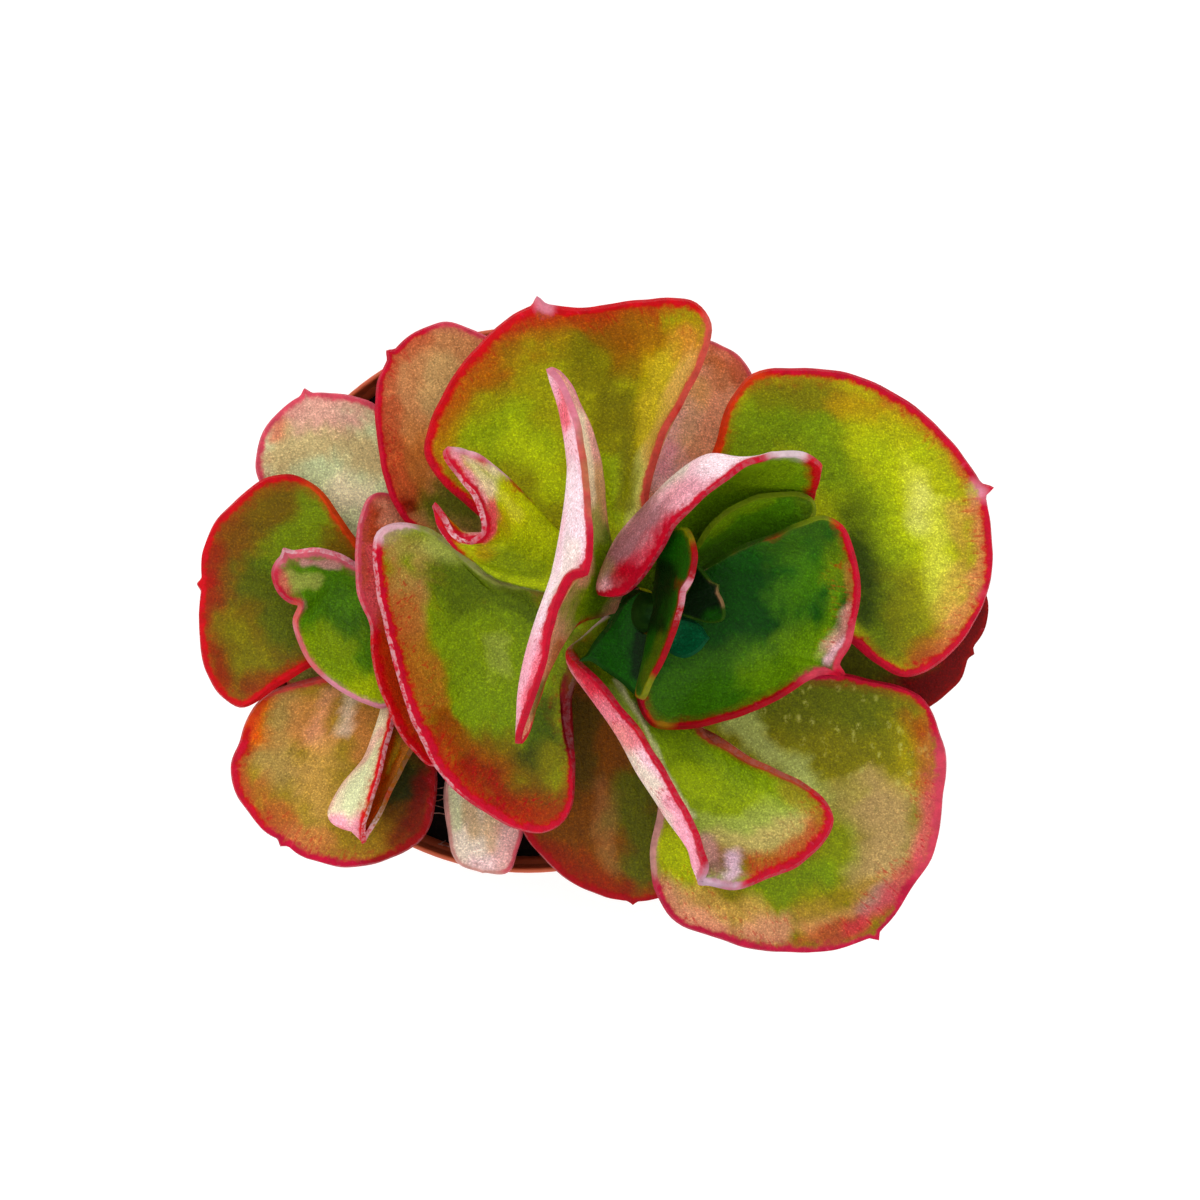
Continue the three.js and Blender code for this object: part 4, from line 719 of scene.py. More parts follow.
LOOKS["leaf_west_curled"] = dict(
    skin=[("lime",), ("grass", 8, 0.8, [(2, 12), (8, 12)]), ("leaf_lime", 5, 0.8, [(-8, 10), (2, 8)]),
        ("acid", 7, 0.7, [(-5, 28), (0, 22), (4, 18)]), ("straw", 3, 0.7, [(-6, 26), (-3, 22)]),
        ("ochre", 4, 0.8, [(-8, 21), (-8.5, 17), (-12, 13)]),
        ("pink", 3, 0.9, [(-11, 25), (-14, 30), (-18, 36)]), ("cream", 3, 0.8, [(-14, 35), (-8, 33)]),
        ("cream", 2.2, 0.7, [(-13, 33), (-9.5, 27)]), ("crimson", 2.5, 0.9, [(-21, 19), (-18, 15.5)]),
        ("rose", 2, 0.9, [(-9, 24), (-8.5, 18), (-11, 15)]),
        ("pink", 2, 0.8, [(-15.5, 15.5), (-12, 17)])],
    hem=[("crimson",), ("leaf_lime", 7, 1, [(-4, 33), (3, 27), (10, 15)]),
        ("fern", 8, 1, [(-10, 8), (-4, 7), (3, 3), (12, 1)]),
        ("petal", 5, 0.95, [(-16, 39), (-10, 37), (-6, 33)])],
    band=[(2.2,), (0.6, 9, 1, [(-6, 35), (3, 27), (10, 15)]), (0.5, 9, 1, [(-10, 8), (3, 3), (12, 1)])],
    frost_and_highlight=[(0.2,), (0.9, 6, 1, [(-17, 28), (-15, 20), (-18, 15)])],
    mottle=[(0,), (0.8, 3, 1, [(-16, 32), (-12, 25), (-10, 19)])],
)
LOOKS["leaf_southwest_broad"] = dict(
    skin=[("fern",), ("moss", 9, 0.8, [(-22, 6), (-15, 2), (-8, 4)]), ("moss", 7, 0.8, [(0, 0), (2, -4)]),
        ("sage", 5, 0.5, [(-8, -10), (-6, -18)]), ("moss", 4, 0.8, [(10, -7), (14, -12)]),
        ("khaki", 6, 0.9, [(-33, 13), (-27, 13)]), ("sage", 4, 0.8, [(-24, 14), (-18, 12)]),
        ("fawn", 8, 0.6, [(-31, 6), (-29, -4)]), ("clay", 7, 0.75, [(-30, -4), (-27, -16), (-24, -26)]),
        ("brown", 8, 0.8, [(-22, -34), (-14, -37), (-8, -42), (-2, -48), (8, -51)]),
        ("olive_brown", 6, 0.8, [(-8, -37), (2, -43)]),
        ("rust", 5, 0.6, [(-21, -31), (-14, -38), (-8, -43)]),
        ("sienna", 5, 0.7, [(-24, -36), (-18, -44), (-8, -52), (2, -56)]),
        ("wine", 4, 0.6, [(-14, -42), (-4, -50)]),
        ("cherry", 5, 0.3, [(-25, -34), (-18, -42), (-8, -50), (5, -54)]),
        ("maroon", 6, 0.3, [(-16, -43), (-6, -51), (7, -53)]),
        ("bottle", 6, 0.8, [(4, -26), (4, -34), (2, -38)]), ("olive", 4, 0.7, [(6, -39), (6.5, -44)])],
    hem=[("crimson",), ("sage", 10, 1, [(-26, 18), (-15, 11), (-8, 7), (0, 3)]),
        ("petal", 5, 0.9, [(-36, 17.5), (-31, 19)]), ("maroon", 8, 0.9, [(10, -16), (10, -34)])],
    band=[(2.8,), (1.6, 8, 1, [(10, -30), (11, -48)]), (2.2, 8, 0.8, [(0, -57), (-12, -52)]),
        (0.6, 10, 1, [(-26, 18), (-15, 11), (-8, 7), (0, 3)])],
    frost_and_highlight=[(0.1,), (0.6, 10, 1, [(-38, 9), (-35, -9), (-29, -30), (-20, -45)])],
    mottle=[(0,), (1, 9, 1, [(-34, 4), (-31, -18), (-24, -38), (-8, -53), (4, -55)])],
)
LOOKS["leaf_west_under"] = dict(
    skin=[("brick",), ("salmon", 4, 0.9, [(-36, 24), (-34, 20)]),
        ("rose", 3, 0.6, [(-38.5, 12), (-38.5, -2)]),
        ("sienna", 6, 1, [(-37, -10), (-35, -20), (-32, -30), (-28, -38)]),
        ("petal", 1.5, 0.9, [(-39, -5.5)])],
    hem=[("rose",), ("scarlet", 14, 1, [(-38, -14), (-34, -28), (-28, -38)])],
    band=[(1.2,), (2.4, 14, 1, [(-38, -14), (-34, -28), (-28, -38)])], frost_and_highlight=[(0.25,)],
    mottle=[(0,), (1, 6, 1, [(-37, 20), (-38, 2)])],
)
LOOKS["leaf_south_low"] = dict(
    # The moss stroke on the half past the midrib is painted shade from the leaves above
    skin=[("brown",), ("moss", 10, 0.8, [(26, -48), (29, -60), (27, -68)]),
        ("fawn", 4, 0.25, [(18, -46), (20, -60), (21, -68)]), ("bottle", 7, 0.6, [(13, -28), (14, -44)]),
        ("wine", 6, 0.9, [(5, -64), (14, -69), (24, -73)])],
    hem=[("cherry",)], band=[(2,)], frost_and_highlight=[(0.1,)],
)
LOOKS["leaf_south_narrow"] = dict(
    skin=[("bone",), ("petal", 6, 0.6, [(-10, -68), (-4, -60)]),
        ("mint", 3, 0.8, [(-19, -48), (-19, -56)]), ("sand", 3, 0.7, [(-14, -50), (-13, -58)]),
        ("peach", 3, 0.5, [(-9, -54), (-9, -62)]), ("dusty_pink", 5, 0.6, [(-6, -66), (-4, -58)])],
    hem=[("dusty_pink",), ("rose", 6, 0.9, [(-2, -58), (-4, -66)])], band=[(1,)],
)
LOOKS["offset_leaf_north"] = dict(
    skin=[("mint",), ("sand", 8, 0.7, [(-62, 36), (-60, 44), (-45, 41), (-40, 37)]),
        ("cream", 6, 0.8, [(-46, 27), (-42, 25)]),
        ("dusty_pink", 6, 0.8, [(-58, 48), (-50, 48), (-44, 45)]),
        ("coral", 3, 0.5, [(-64, 40), (-62, 44)])],
    hem=[("rose",)], band=[(1.7,)],
)
LOOKS["offset_leaf_west"] = dict(
    skin=[("olive_brown",), ("brown", 8, 0.7, [(-74, 20), (-76, 8), (-76, 0)]),
        ("wine", 4, 0.8, [(-79, 12), (-79, 4), (-79, -8), (-76, -20)]),
        ("olive_brown", 5, 0.8, [(-66, 26), (-58, 26)]), ("fern", 9, 0.9, [(-52, 20), (-60, 13)]),
        ("moss", 8, 0.8, [(-62, -8), (-62, 0), (-68, 4)]),
        ("olive", 7, 0.8, [(-70, -14), (-66, -16), (-73, -8)]),
        ("wine", 4, 0.7, [(-70, -22), (-60, -19)]), ("blood", 4, 0.8, [(-80, 5)])],
    hem=[("scarlet",), ("orange", 8, 0.8, [(-50, 26), (-44, 16)])],
    band=[(1.8,), (1, 8, 1, [(-50, 26), (-44, 16)])],
)
LOOKS["offset_leaf_inner"] = dict(
    skin=[("fresh_green",), ("pine", 6, 0.5, [(-44, -6), (-46, -10), (-50, 0)]),
        ("grass", 9, 0.6, [(-50, -13), (-46, -19)]), ("lime", 6, 0.7, [(-38, -22), (-41, -24)]),
        ("sage", 3, 0.8, [(-60, 5), (-57, 4.5), (-54, 5)]), ("rose", 2, 0.6, [(-62.5, 7), (-61, 2)]),
        ("pink", 1.5, 0.5, [(-56, 9.5), (-48, 9)])],
    back=[("shell",), ("coral", 3, 0.7, [(-58, 10), (-46, 8)])],
    hem=[("pink",), ("crimson", 5, 0.9, [(-63, 6), (-60, 1)]), ("coral", 4, 0.9, [(-58, -4)]),
        ("coral", 5, 0.7, [(-56, -10), (-53, -15)]), ("rose", 8, 0.8, [(-58, 10), (-48, 9)])],
    band=[(0.7,), (1.4, 7, 1, [(-63, 7), (-60, 1)]), (2.4, 8, 0.9, [(-58, 10), (-48, 9), (-43, 6)])],
    frost_and_highlight=[(0.1,), (0.7, 6, 1, [(-58, 12), (-44, 9)])],
)
LOOKS["offset_leaf_south"] = dict(
    skin=[("bronze",), ("grey_tan", 9, 0.5, [(-62, -30), (-64, -40), (-62, -44)]),
        ("orange", 5, 0.8, [(-71, -30), (-69, -33), (-68, -27)]),
        ("tan", 7, 0.7, [(-52, -28), (-56, -33)]), ("tan", 6, 0.8, [(-42, -30), (-40, -36)]),
        ("bone", 2.5, 0.5, [(-44, -24), (-46, -32)]), ("salmon", 3, 0.5, [(-50, -23), (-54, -34)]),
        ("peach", 8, 0.5, [(-54, -42), (-52, -52)]), ("clay", 7, 0.9, [(-67, -48), (-62, -56)]),
        ("tan", 5, 0.8, [(-56, -60), (-50, -60)]), ("brick", 4, 0.7, [(-72, -42), (-68, -54)]),
        ("night_moss", 9, 1, [(-31, -42), (-30, -50), (-34, -48)]),
        ("brown", 5, 0.6, [(-30, -54), (-36, -57)]),
        ("maroon", 4, 0.8, [(-26, -46), (-27, -56), (-33, -60)]), ("blood", 3, 0.9, [(-71, -37)])],
    hem=[("crimson",), ("orange", 6, 0.9, [(-72, -30), (-68, -26)]),
        ("blood", 10, 0.9, [(-24, -46), (-26, -58), (-33, -62)]),
        ("coral", 7, 0.9, [(-60, -22), (-52, -19.5)]), ("berry", 9, 0.7, [(-60, -62), (-48, -65)])],
    band=[(2.2,), (1, 10, 1, [(-62, -22), (-50, -20), (-40, -25)])], frost_and_highlight=[(0.1,)],
    mottle=[(0,), (0.9, 9, 1, [(-70, -52), (-62, -60), (-48, -64)])],
)
LOOKS["offset_leaf_folded"] = dict(
    skin=[("copper",), ("orange", 2.5, 0.7, [(-34, -36), (-37, -46), (-39, -54)]),
        ("orange_brown", 1, 0.8, [(-32.5, -38), (-36, -46)]),
        ("straw", 1.2, 0.6, [(-32, -34), (-35, -43)])],
    back=[("cream",), ("mint", 4, 0.7, [(-36, -36), (-41, -46), (-44, -51)]),
        ("dusty_pink", 1.5, 0.7, [(-37, -33), (-41, -39.5), (-46, -44), (-50, -52)]),
        ("pink", 5, 0.9, [(-49, -57), (-45, -60), (-42, -58)]),
        ("coral", 1.5, 0.6, [(-47, -58), (-44, -61)])],
    hem=[("scarlet",), ("umber", 3, 1, [(-28, -34), (-33, -45), (-37.5, -54)])],
    band=[(1.7,), (0.3, 3, 1, [(-28, -34), (-33, -45), (-37.5, -54)])],
    frost_and_highlight=[(0.1,), (0.7, 4, 1, [(-33.5, -28), (-37, -43), (-40.5, -56)])],
)
LOOKS["offset_leaf_low"] = dict(
    skin=[("khaki",), ("sage", 5, 0.7, [(-58, -18), (-54, -18)])], hem=[("coral",)], band=[(1,)],
    frost_and_highlight=[(0.15,)],
)
USUAL = {"hem": [("crimson",)], "band": [(1.5,)], "frost_and_highlight": [(0,)], "dots": [(0,)], "mottle": [(0,)]}


def in_metres(point):
    """A point (x, y, height above the rim) as seen from the eye, in the frame's metres."""
    x, y, height = point
    pull = 1 - height / EYE_HEIGHT
    return np.array([EYE_X + (x - EYE_X) * pull, y * pull, POT_HEIGHT + height]) * MM


def as_seen(points):
    """Where the eye sees each of these points (n x 3, metres) on the rim's plane, in millimetres."""
    pull = 1 - (points[:, 2] / MM - POT_HEIGHT) / EYE_HEIGHT
    seen_x = EYE_X + (points[:, 0] / MM - EYE_X) / pull
    return np.stack([seen_x, points[:, 1] / MM / pull], axis=1)


def ramp(value, low, high):
    """0 below low, 1 above high and a smooth step between them."""
    t = np.clip((value - low) / (high - low), 0, 1)
    return t * t * (3 - 2 * t)


class Line:
    """A smooth line through points, read by its share of the whole length."""

    STEPS = 24
    SPACING_POWER = 0.5

    def __init__(self, points):
        knots = np.array([in_metres(point) for point in points])
        knots = np.vstack([2 * knots[0] - knots[1], knots, 2 * knots[-1] - knots[-2]])
        pieces = [self.piece(knots[k:k + 4]) for k in range(len(knots) - 3)]
        self.points = np.vstack(pieces + [knots[-2:-1]])
        steps = np.linalg.norm(np.diff(self.points, axis=0), axis=1)
        self.reach = np.concatenate([[0], np.cumsum(steps)])
        self.length = self.reach[-1]

    def piece(self, knots):
        """The stretch between the two middle knots of four, spaced by the root of their distance."""
        spacing = np.linalg.norm(np.diff(knots, axis=0), axis=1) ** self.SPACING_POWER
        before, here, after = np.maximum(spacing, LEAST_SPACING)
        start, left, right, end = knots
        leave = (left - start) / before - (right - start) / (before + here) + (right - left) / here
        arrive = (right - left) / here - (end - left) / (here + after) + (end - right) / after
        leave, arrive = leave * here, arrive * here
        t = np.linspace(0, 1, self.STEPS, endpoint=False)[:, None]
        cubic = 2 * left - 2 * right + leave + arrive
        square = -3 * left + 3 * right - 2 * leave - arrive
        return left + leave * t + square * t ** 2 + cubic * t ** 3

    def at(self, share):
        reach = np.clip(share, 0, 1) * self.length
        return np.stack([np.interp(reach, self.reach, self.points[:, k]) for k in range(3)], axis=-1)


class Blade:
    """The middle surface of one leaf: t runs from base to tip, s from the midrib out to a margin."""

    def __init__(self, name):
        leaf = LEAVES[name]
        self.rib = Line(leaf["rib"])
        self.margins = {-1: Line(leaf["left"] + [leaf["tip"]]), 1: Line(leaf["right"] + [leaf["tip"]])}
        self.folds = {-1: leaf.get("left_fold"), 1: leaf.get("right_fold")}
        self.folds = {side: line and Line(line) for side, line in self.folds.items()}
        self.cup = leaf.get("cup", CUP)
        self.thickness = leaf.get("thickness", LEAF_THICKNESS)
        self.tip = self.margins[1].points[-1]

    def point(self, side, t, s):
        """Places on one half of the leaf: across it, a curve through midrib, fold or cup, and margin."""
        middle = self.rib.at(t)
        margin = self.margins[side].at(t)
        straight = (middle + margin) / 2
        if self.folds[side]:
            bend = self.folds[side].at(t)
        else:
            sink = self.cup * np.sin(np.pi * np.minimum(1, t * CUP_REACH))
            bend = straight - np.stack([0 * sink, 0 * sink, sink * MM], axis=-1)
        closing = ramp(t, FOLD_CLOSES, 1)[..., None]
        bend = bend * (1 - closing) + straight * closing
        s = s[..., None]
        return middle * 2 * (s - 0.5) * (s - 1) - bend * 4 * s * (s - 1) + margin * 2 * s * (s - 0.5)

    def width(self, side, t):
        return np.linalg.norm(self.margins[side].at(t) - self.rib.at(t), axis=-1) / MM

    def flesh(self, t):
        """How thick the leaf is along its midrib, in millimetres."""
        full = self.thickness * (BASE_SWELL + (TIP_THIN - BASE_SWELL) * t)
        return np.minimum(full, THICK_OF_WIDTH * np.minimum(self.width(-1, t), self.width(1, t)))

    def half_thickness(self, t, s):
        """Half the leaf's thickness at a point, in millimetres: round across, nothing at the margin."""
        return 0.5 * self.flesh(t) * np.sqrt(np.maximum(0, 1 - s ** 2))


def stem_gap(points, ways):
    """Millimetres from each point (n x 3) out of the nearer stem, and how far its flesh leans into it."""
    gaps, leans = [], []
    for stem in (MAIN_STEM, OFFSET_STEM):
        foot, top = in_metres(stem["foot"]), in_metres(stem["top"])
        up = np.clip((points[:, 2] - foot[2]) / (top[2] - foot[2]), 0, 1)
        out = points - (foot + up[:, None] * (top - foot))
        away = np.linalg.norm(out, axis=1)
        radius = stem["foot_radius"] + (stem["top_radius"] - stem["foot_radius"]) * up
        gaps.append(away / MM - radius)
        leans.append(np.abs((out * ways).sum(1)) / np.maximum(away, LEAST_DISTANCE))
    nearer = gaps[0] < gaps[1]
    return np.where(nearer, *gaps), np.where(nearer, *leans)


def starts_on_stem(blade, columns):
    """The share of the leaf's length, column by column, that would lie in a stem."""
    steps = np.linspace(0, STEM_REACH, STEM_REACH_STEPS)
    starts = np.zeros(len(columns))
    for k, u in enumerate(columns):
        side, s = (-1 if u < 0 else 1), abs(u)
        next_s = s - NEXT_COLUMN if s > NEXT_COLUMN else s + NEXT_COLUMN
        line = blade.point(side, steps, np.full(len(steps), s))
        beside = blade.point(side, steps, np.full(len(steps), next_s))
        ways = np.cross(np.gradient(line, axis=0), beside - line)
        ways /= np.maximum(np.linalg.norm(ways, axis=1, keepdims=True), LEAST_AREA)
        gap, lean = stem_gap(line, ways)
        inside = np.nonzero(gap < STEM_GAP + lean * blade.half_thickness(steps, s))[0]
        if len(inside):
            starts[k] = steps[min(inside[-1] + 1, len(steps) - 1)]
    softened = starts.copy()
    for _ in range(SOFTEN_BASE):
        softened[1:-1] = (softened[:-2] + softened[2:]) / 4 + softened[1:-1] / 2
    return np.maximum(starts, softened)


def positions(mesh):
    flat = np.empty(len(mesh.vertices) * 3)
    mesh.vertices.foreach_get("co", flat)
    return flat.reshape(-1, 3)


def set_positions(mesh, points):
    mesh.vertices.foreach_set("co", np.ascontiguousarray(points, dtype=np.float32).ravel())
    mesh.update()


def keep(mesh, name, values):
    """Stores one number, or one colour, on each vertex."""
    kind, key, width = ("FLOAT", "value", 1) if values.ndim == 1 else ("FLOAT_COLOR", "color", 4)
    if width == 4:
        values = np.hstack([values, np.ones((len(values), 1))])
    layer = mesh.attributes.get(name) or mesh.attributes.new(name, kind, "POINT")
    layer.data.foreach_set(key, np.ascontiguousarray(values, dtype=np.float32).ravel())


def kept(mesh, name):
    """The number that is stored on each vertex under this name."""
    values = np.empty(len(mesh.vertices), dtype=np.float32)
    mesh.attributes[name].data.foreach_get("value", values)
    return values


def pick(*things):
    """Selects only these objects and makes the first one active."""
    bpy.ops.object.select_all(action="DESELECT")
    for thing in things:
        thing.select_set(True)
    bpy.context.view_layer.objects.active = things[0]


def start_piece(name, add, **settings):
    """Adds a primitive with nothing else selected and names it."""
    bpy.ops.object.select_all(action="DESELECT")
    add(**settings)
    piece = bpy.context.object
    piece.name = piece.data.name = name
    return piece


def apply_modifier(piece, kind, **settings):
    """Adds one modifier, sets it and applies it."""
    modifier = piece.modifiers.new(kind, kind)
    for key, value in settings.items():
        setattr(modifier, key, value)
    bpy.ops.object.modifier_apply(modifier=modifier.name)


def finish_piece(piece, material, slot, *nodes, angle=None):
    """Shades the piece, with creases above this angle if given, dresses it and ties it to the frame."""
    pick(piece)
    if angle:
        bpy.ops.object.shade_smooth_by_angle(angle=math.radians(angle))
    else:
        bpy.ops.object.shade_smooth()
    piece.data.materials.clear()
    piece.data.materials.append(material)
    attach(piece, "root")
    if nodes:
        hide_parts(*nodes)
    return piece


def weigh(piece, name, weights):
    """A vertex group with one weight per vertex, rounded so that few calls are enough."""
    group = piece.vertex_groups.new(name=name)
    levels = np.round(np.clip(weights, 0, 1) * WEIGHT_LEVELS).astype(int)
    for level in np.unique(levels):
        group.add(np.nonzero(levels == level)[0].tolist(), level / WEIGHT_LEVELS, "REPLACE")


def nearest(points, places):
    """Distance in metres from each place to the nearest of the points."""
    tree = kdtree.KDTree(len(points))
    for k, point in enumerate(points):
        tree.insert(point, k)
    tree.balance()
    return np.array([tree.find(place)[2] for place in places])


def ease_out(u):
    """Moves even columns closer together towards the margins."""
    return np.sign(u) * (1 - (1 - np.abs(u)) ** MARGIN_EASE)


def leaf_surface(name, blade):
    """Lays a flat grid on the leaf's middle surface, from where it leaves the stem out to its tip."""
    piece = start_piece(name, bpy.ops.mesh.primitive_grid_add,
                        x_subdivisions=2 * COLUMNS, y_subdivisions=ROWS, size=2)
    mesh = piece.data
    flat = positions(mesh)
    columns = np.unique(np.round(flat[:, 0], GRID_DIGITS))
    starts = np.interp(flat[:, 0], columns, starts_on_stem(blade, ease_out(columns)))
    u = ease_out(flat[:, 0])
    s = np.abs(u)
    t = starts + (1 - starts) * (1 - (1 - (flat[:, 1] + 1) / 2) ** TIP_EASE)
    points = np.where((u < 0)[:, None], blade.point(-1, t, s), blade.point(1, t, s))
    set_positions(mesh, points)
    keep(mesh, "along", t)
    keep(mesh, "across", u)
    bpy.ops.object.mode_set(mode="EDIT")
    bpy.ops.mesh.select_all(action="SELECT")
    bpy.ops.mesh.remove_doubles(threshold=WELD)
    bpy.ops.object.mode_set(mode="OBJECT")
    return piece


def shape_leaf(piece, name, blade):
    """Softens the creases, lets the margin wander a little and draws out the leaf's point."""
    t, u = kept(piece.data, "along"), kept(piece.data, "across")
    weigh(piece, "inner", ramp(1 - np.abs(u), 0, PINNED_MARGIN) * ramp(t, t.min(), t.min() + PINNED_BASE))
    apply_modifier(piece, "SMOOTH", factor=SOFTEN_PULL, iterations=SOFTEN_LEAF, vertex_group="inner")
    points = positions(piece.data)
    wander = np.array([noise.noise_vector(Vector(point) / WANDER_SIZE) for point in points / MM])
    points += wander * (WANDER * MM * np.abs(u) ** WANDER_FADE)[:, None]
    out = blade.tip - blade.rib.at(np.array([NEAR_TIP]))[0]
    out /= np.linalg.norm(out)
    away = np.linalg.norm(points - blade.tip, axis=1) / MM
    rounded = TIP_ROUNDING.get(name, USUAL_ROUNDING) * np.clip(1 - away / ROUND_REACH, 0, 1) ** ROUND_FALL
    drawn_out = POINT_LENGTH.get(name, USUAL_POINT) * np.clip(1 - away / POINT_REACH, 0, 1) ** POINT_FALL
    points += out * ((drawn_out - rounded) * MM)[:, None]
    set_positions(piece.data, points)
    keep(piece.data, "edge", edge_distance(piece.data, points) / MM)


def edge_distance(mesh, points):
    """Distance in metres from each vertex to the leaf's margin, which is the open edge beyond its base."""
    ends = np.array([edge.vertices[:] for edge in mesh.edges])
    on_margin = np.abs(kept(mesh, "across")) > ON_MARGIN
    rim = ends[on_margin[ends].all(axis=1)]
    shares = (np.arange(MARGIN_SAMPLES) / MARGIN_SAMPLES)[None, :, None]
    samples = points[rim[:, 0]][:, None] * (1 - shares) + points[rim[:, 1]][:, None] * shares
    return nearest(samples.reshape(-1, 3), points)


def thicken_leaf(piece, blade):
    """Gives the leaf its flesh: thick along the midrib, thin and rounded at the margin."""
    t, u = kept(piece.data, "along"), kept(piece.data, "across")
    flesh = 2 * blade.half_thickness(t, np.abs(u))
    full = blade.thickness * BASE_SWELL
    margin = min(MARGIN_THICKNESS, MARGIN_AT_MOST * blade.thickness)
    weigh(piece, "flesh", np.sqrt(flesh ** 2 + margin ** 2) / full)
    piece.vertex_groups.new(name="under")
    apply_modifier(piece, "SOLIDIFY", thickness=full * MM, offset=0, vertex_group="flesh",
                   shell_vertex_group="under")
    apply_modifier(piece, "BEVEL", width=margin * MARGIN_ROUNDING * MM, segments=MARGIN_SEGMENTS,
                   limit_method="ANGLE", angle_limit=math.radians(MARGIN_ANGLE))


def make_leaf(name):
    blade = Blade(name)
    piece = leaf_surface(name, blade)
    shape_leaf(piece, name, blade)
    thicken_leaf(piece, blade)
    paint_leaf(piece, name, blade)
    return finish_piece(piece, leaf_skin, SLOTS[name], name)


def spots(points, size, seed):
    """Soft noise from -1 to 1 at each point, whose blotches are about size millimetres across."""
    shift = Vector([seed * part for part in SEED_SHIFT])
    return np.array([noise.fractal(Vector(point) / size + shift, LUMP_SOFTNESS, LUMP_STEP, LUMP_OCTAVES)
                     for point in points / MM])


def reach_of(line, seen):
    """How far each vertex lies, as seen from the eye, from a stroke's line or dot, in millimetres."""
    line = np.array(line, dtype=float)
    if len(line) == 1:
        return np.linalg.norm(seen - line[0], axis=1)
    best = np.full(len(seen), np.inf)
    for start, end in zip(line[:-1], line[1:]):
        way = end - start
        share = np.clip(((seen - start) @ way) / (way @ way), 0, 1)
        best = np.minimum(best, np.linalg.norm(seen - start - share[:, None] * way, axis=1))
    return best


def laid_value(what):
    """What a stroke lays: a colour by its name, or a number."""
    return linear(PALETTE[what]) if isinstance(what, str) else np.array([float(what)])


def brushed(strokes, seen, wobble):
    """Lays strokes (what, reach, strength, line) over the first one, which covers all."""
    (ground,), *marks = strokes
    laid = np.repeat(laid_value(ground)[None, :], len(seen), axis=0)
    for what, reach, strength, line in marks:
        distance = reach_of(line, seen) + wobble * min(reach * WOBBLE_OF_REACH, WOBBLE_AT_MOST)
        weight = strength * (1 - ramp(distance, STROKE_CORE * reach, STROKE_END * reach))
        laid = laid * (1 - weight[:, None]) + laid_value(what)[None, :] * weight[:, None]
    return laid if laid.shape[1] == 3 else laid[:, 0]


def paint_leaf(piece, name, blade):
    """Lays the leaf's colours on its vertices: strokes on each face, the margin's colour and its width."""
    mesh = piece.data
    points = positions(mesh)
    seen = as_seen(points)
    wobble = spots(points, WOBBLE_SIZE, len(name)) * WOBBLE
    looks = {**USUAL, **LOOKS[name]}
    top = brushed(looks["skin"], seen, wobble)
    if "back" in looks:
        below = brushed(looks["back"], seen, wobble)
    else:
        bloom = 0 if name in NO_BLOOM else BLOOM
        below = top * (1 - bloom) + linear(PALETTE["mauve"]) * bloom
    under_group = piece.vertex_groups["under"].index
    under = np.array([any(g.group == under_group and g.weight > UNDER_WEIGHT for g in vertex.groups)
                      for vertex in mesh.vertices])
    skin = np.where(under[:, None], below, top)
    keep(mesh, "skin", skin)
    t, u = kept(mesh, "along"), kept(mesh, "across")
    grown = ramp(t, t.min() + BARE_BASE[0], t.min() + BARE_BASE[1])[:, None]
    keep(mesh, "hem", brushed(looks["hem"], seen, wobble) * grown + skin * (1 - grown))
    for part in ("band", "frost_and_highlight", "dots", "mottle"):
        keep(mesh, part, brushed(looks[part], seen, wobble))
    wide = np.where(u < 0, blade.width(-1, t), blade.width(1, t))
    places = [u * wide * (1 - t ** GRAIN_CLOSES), t * blade.rib.length / MM, UNDER_GRAIN_SHIFT * under]
    places = np.stack(places, axis=1) * MM
    layer = mesh.attributes.new("grain_place", "FLOAT_VECTOR", "POINT")
    layer.data.foreach_set("vector", np.ascontiguousarray(places, dtype=np.float32).ravel())

# Leaf skin. A texture is (size of a blotch in metres, octaves, roughness) and a mask (start, end).
CLOUD = (0.011, 4, 0.6)
BLOTCH = (0.0045, 4, 0.7)
GRAIN = (0.0016, 3, 0.6)
FINE = (0.0013, 3, 0.7)
PATCH = (0.009, 3, 0.6)
DUST = (0.00045, 2, 0.6)
GRAIN_STRETCH = (1, 0.14, 1)
SKIN_SHADE = 1.06
SHADE_SWINGS = {"cloud": 0.4, "blotch": 0.45, "grain": 0.5, "fine": 0.6, "dust": 1.5}
# Pale specks on the dust noise: partly the skin's own speckle, partly painted glints
DUST_SPECK_AND_GLINT, DUST_SPECK_GLINT_LIFT = (0.58, 0.68), 0.4
FLECK, FLECK_PATCH, FLECK_LIFT = (0.54, 0.68), (0.42, 0.6), 0.3
DOT_SIZE, DOT_STRETCH, DOT_ROUND, DOT_FINE, DOT_MIX = 0.0026, (1, 0.7, 1), (0.1, 0.42), (0.4, 0.6), 0.5
DOT_YELLOW = (206, 204, 110)
INWARD, INWARD_SWING, INWARD_MIX = (0.3, 2.8), 2.4, 0.3
SPECK_SIZE, SPECK_ROUND, SPECK_MIX = 0.0017, (0.1, 0.5), 0.55
SPECK_CLOUD, SPECK_PATCH = (0.0035, 3, 0.55), (0.42, 0.6)
WASH_SHADE = 0.72
MARK, MARK_STRETCH, MARK_MASK, MARK_MIX = (0.001, 3, 0.75), (1, 0.75, 1), (0.5, 0.66), 0.75
MARK_CLOUD, MARK_PATCH = (0.0045, 3, 0.55), (0.4, 0.56)
MARK_CRIMSON = (176, 14, 42)
RAGGED, RAGGED_SWING, MARGIN = (0.0024, 4, 0.7), 1.5, (0.35, 1.05)
HEM_CLOUD, HEM_SHADE, HEM_LIFT = (0.0026, 4, 0.7), 0.35, 0.95
STREAK, STREAK_STRETCH = (0.0012, 3, 0.7), (0.35, 1, 1)
PALE_STREAK, PALE_PATCH, PALE_MIX = (0.55, 0.7), (0.45, 0.6), 0.18
PALE_PINK = (240, 130, 150)
FRAY_SWING, OUTERMOST, FROST_HIGHLIGHT_MIX = 1.2, (-0.15, 0.2), 0.75
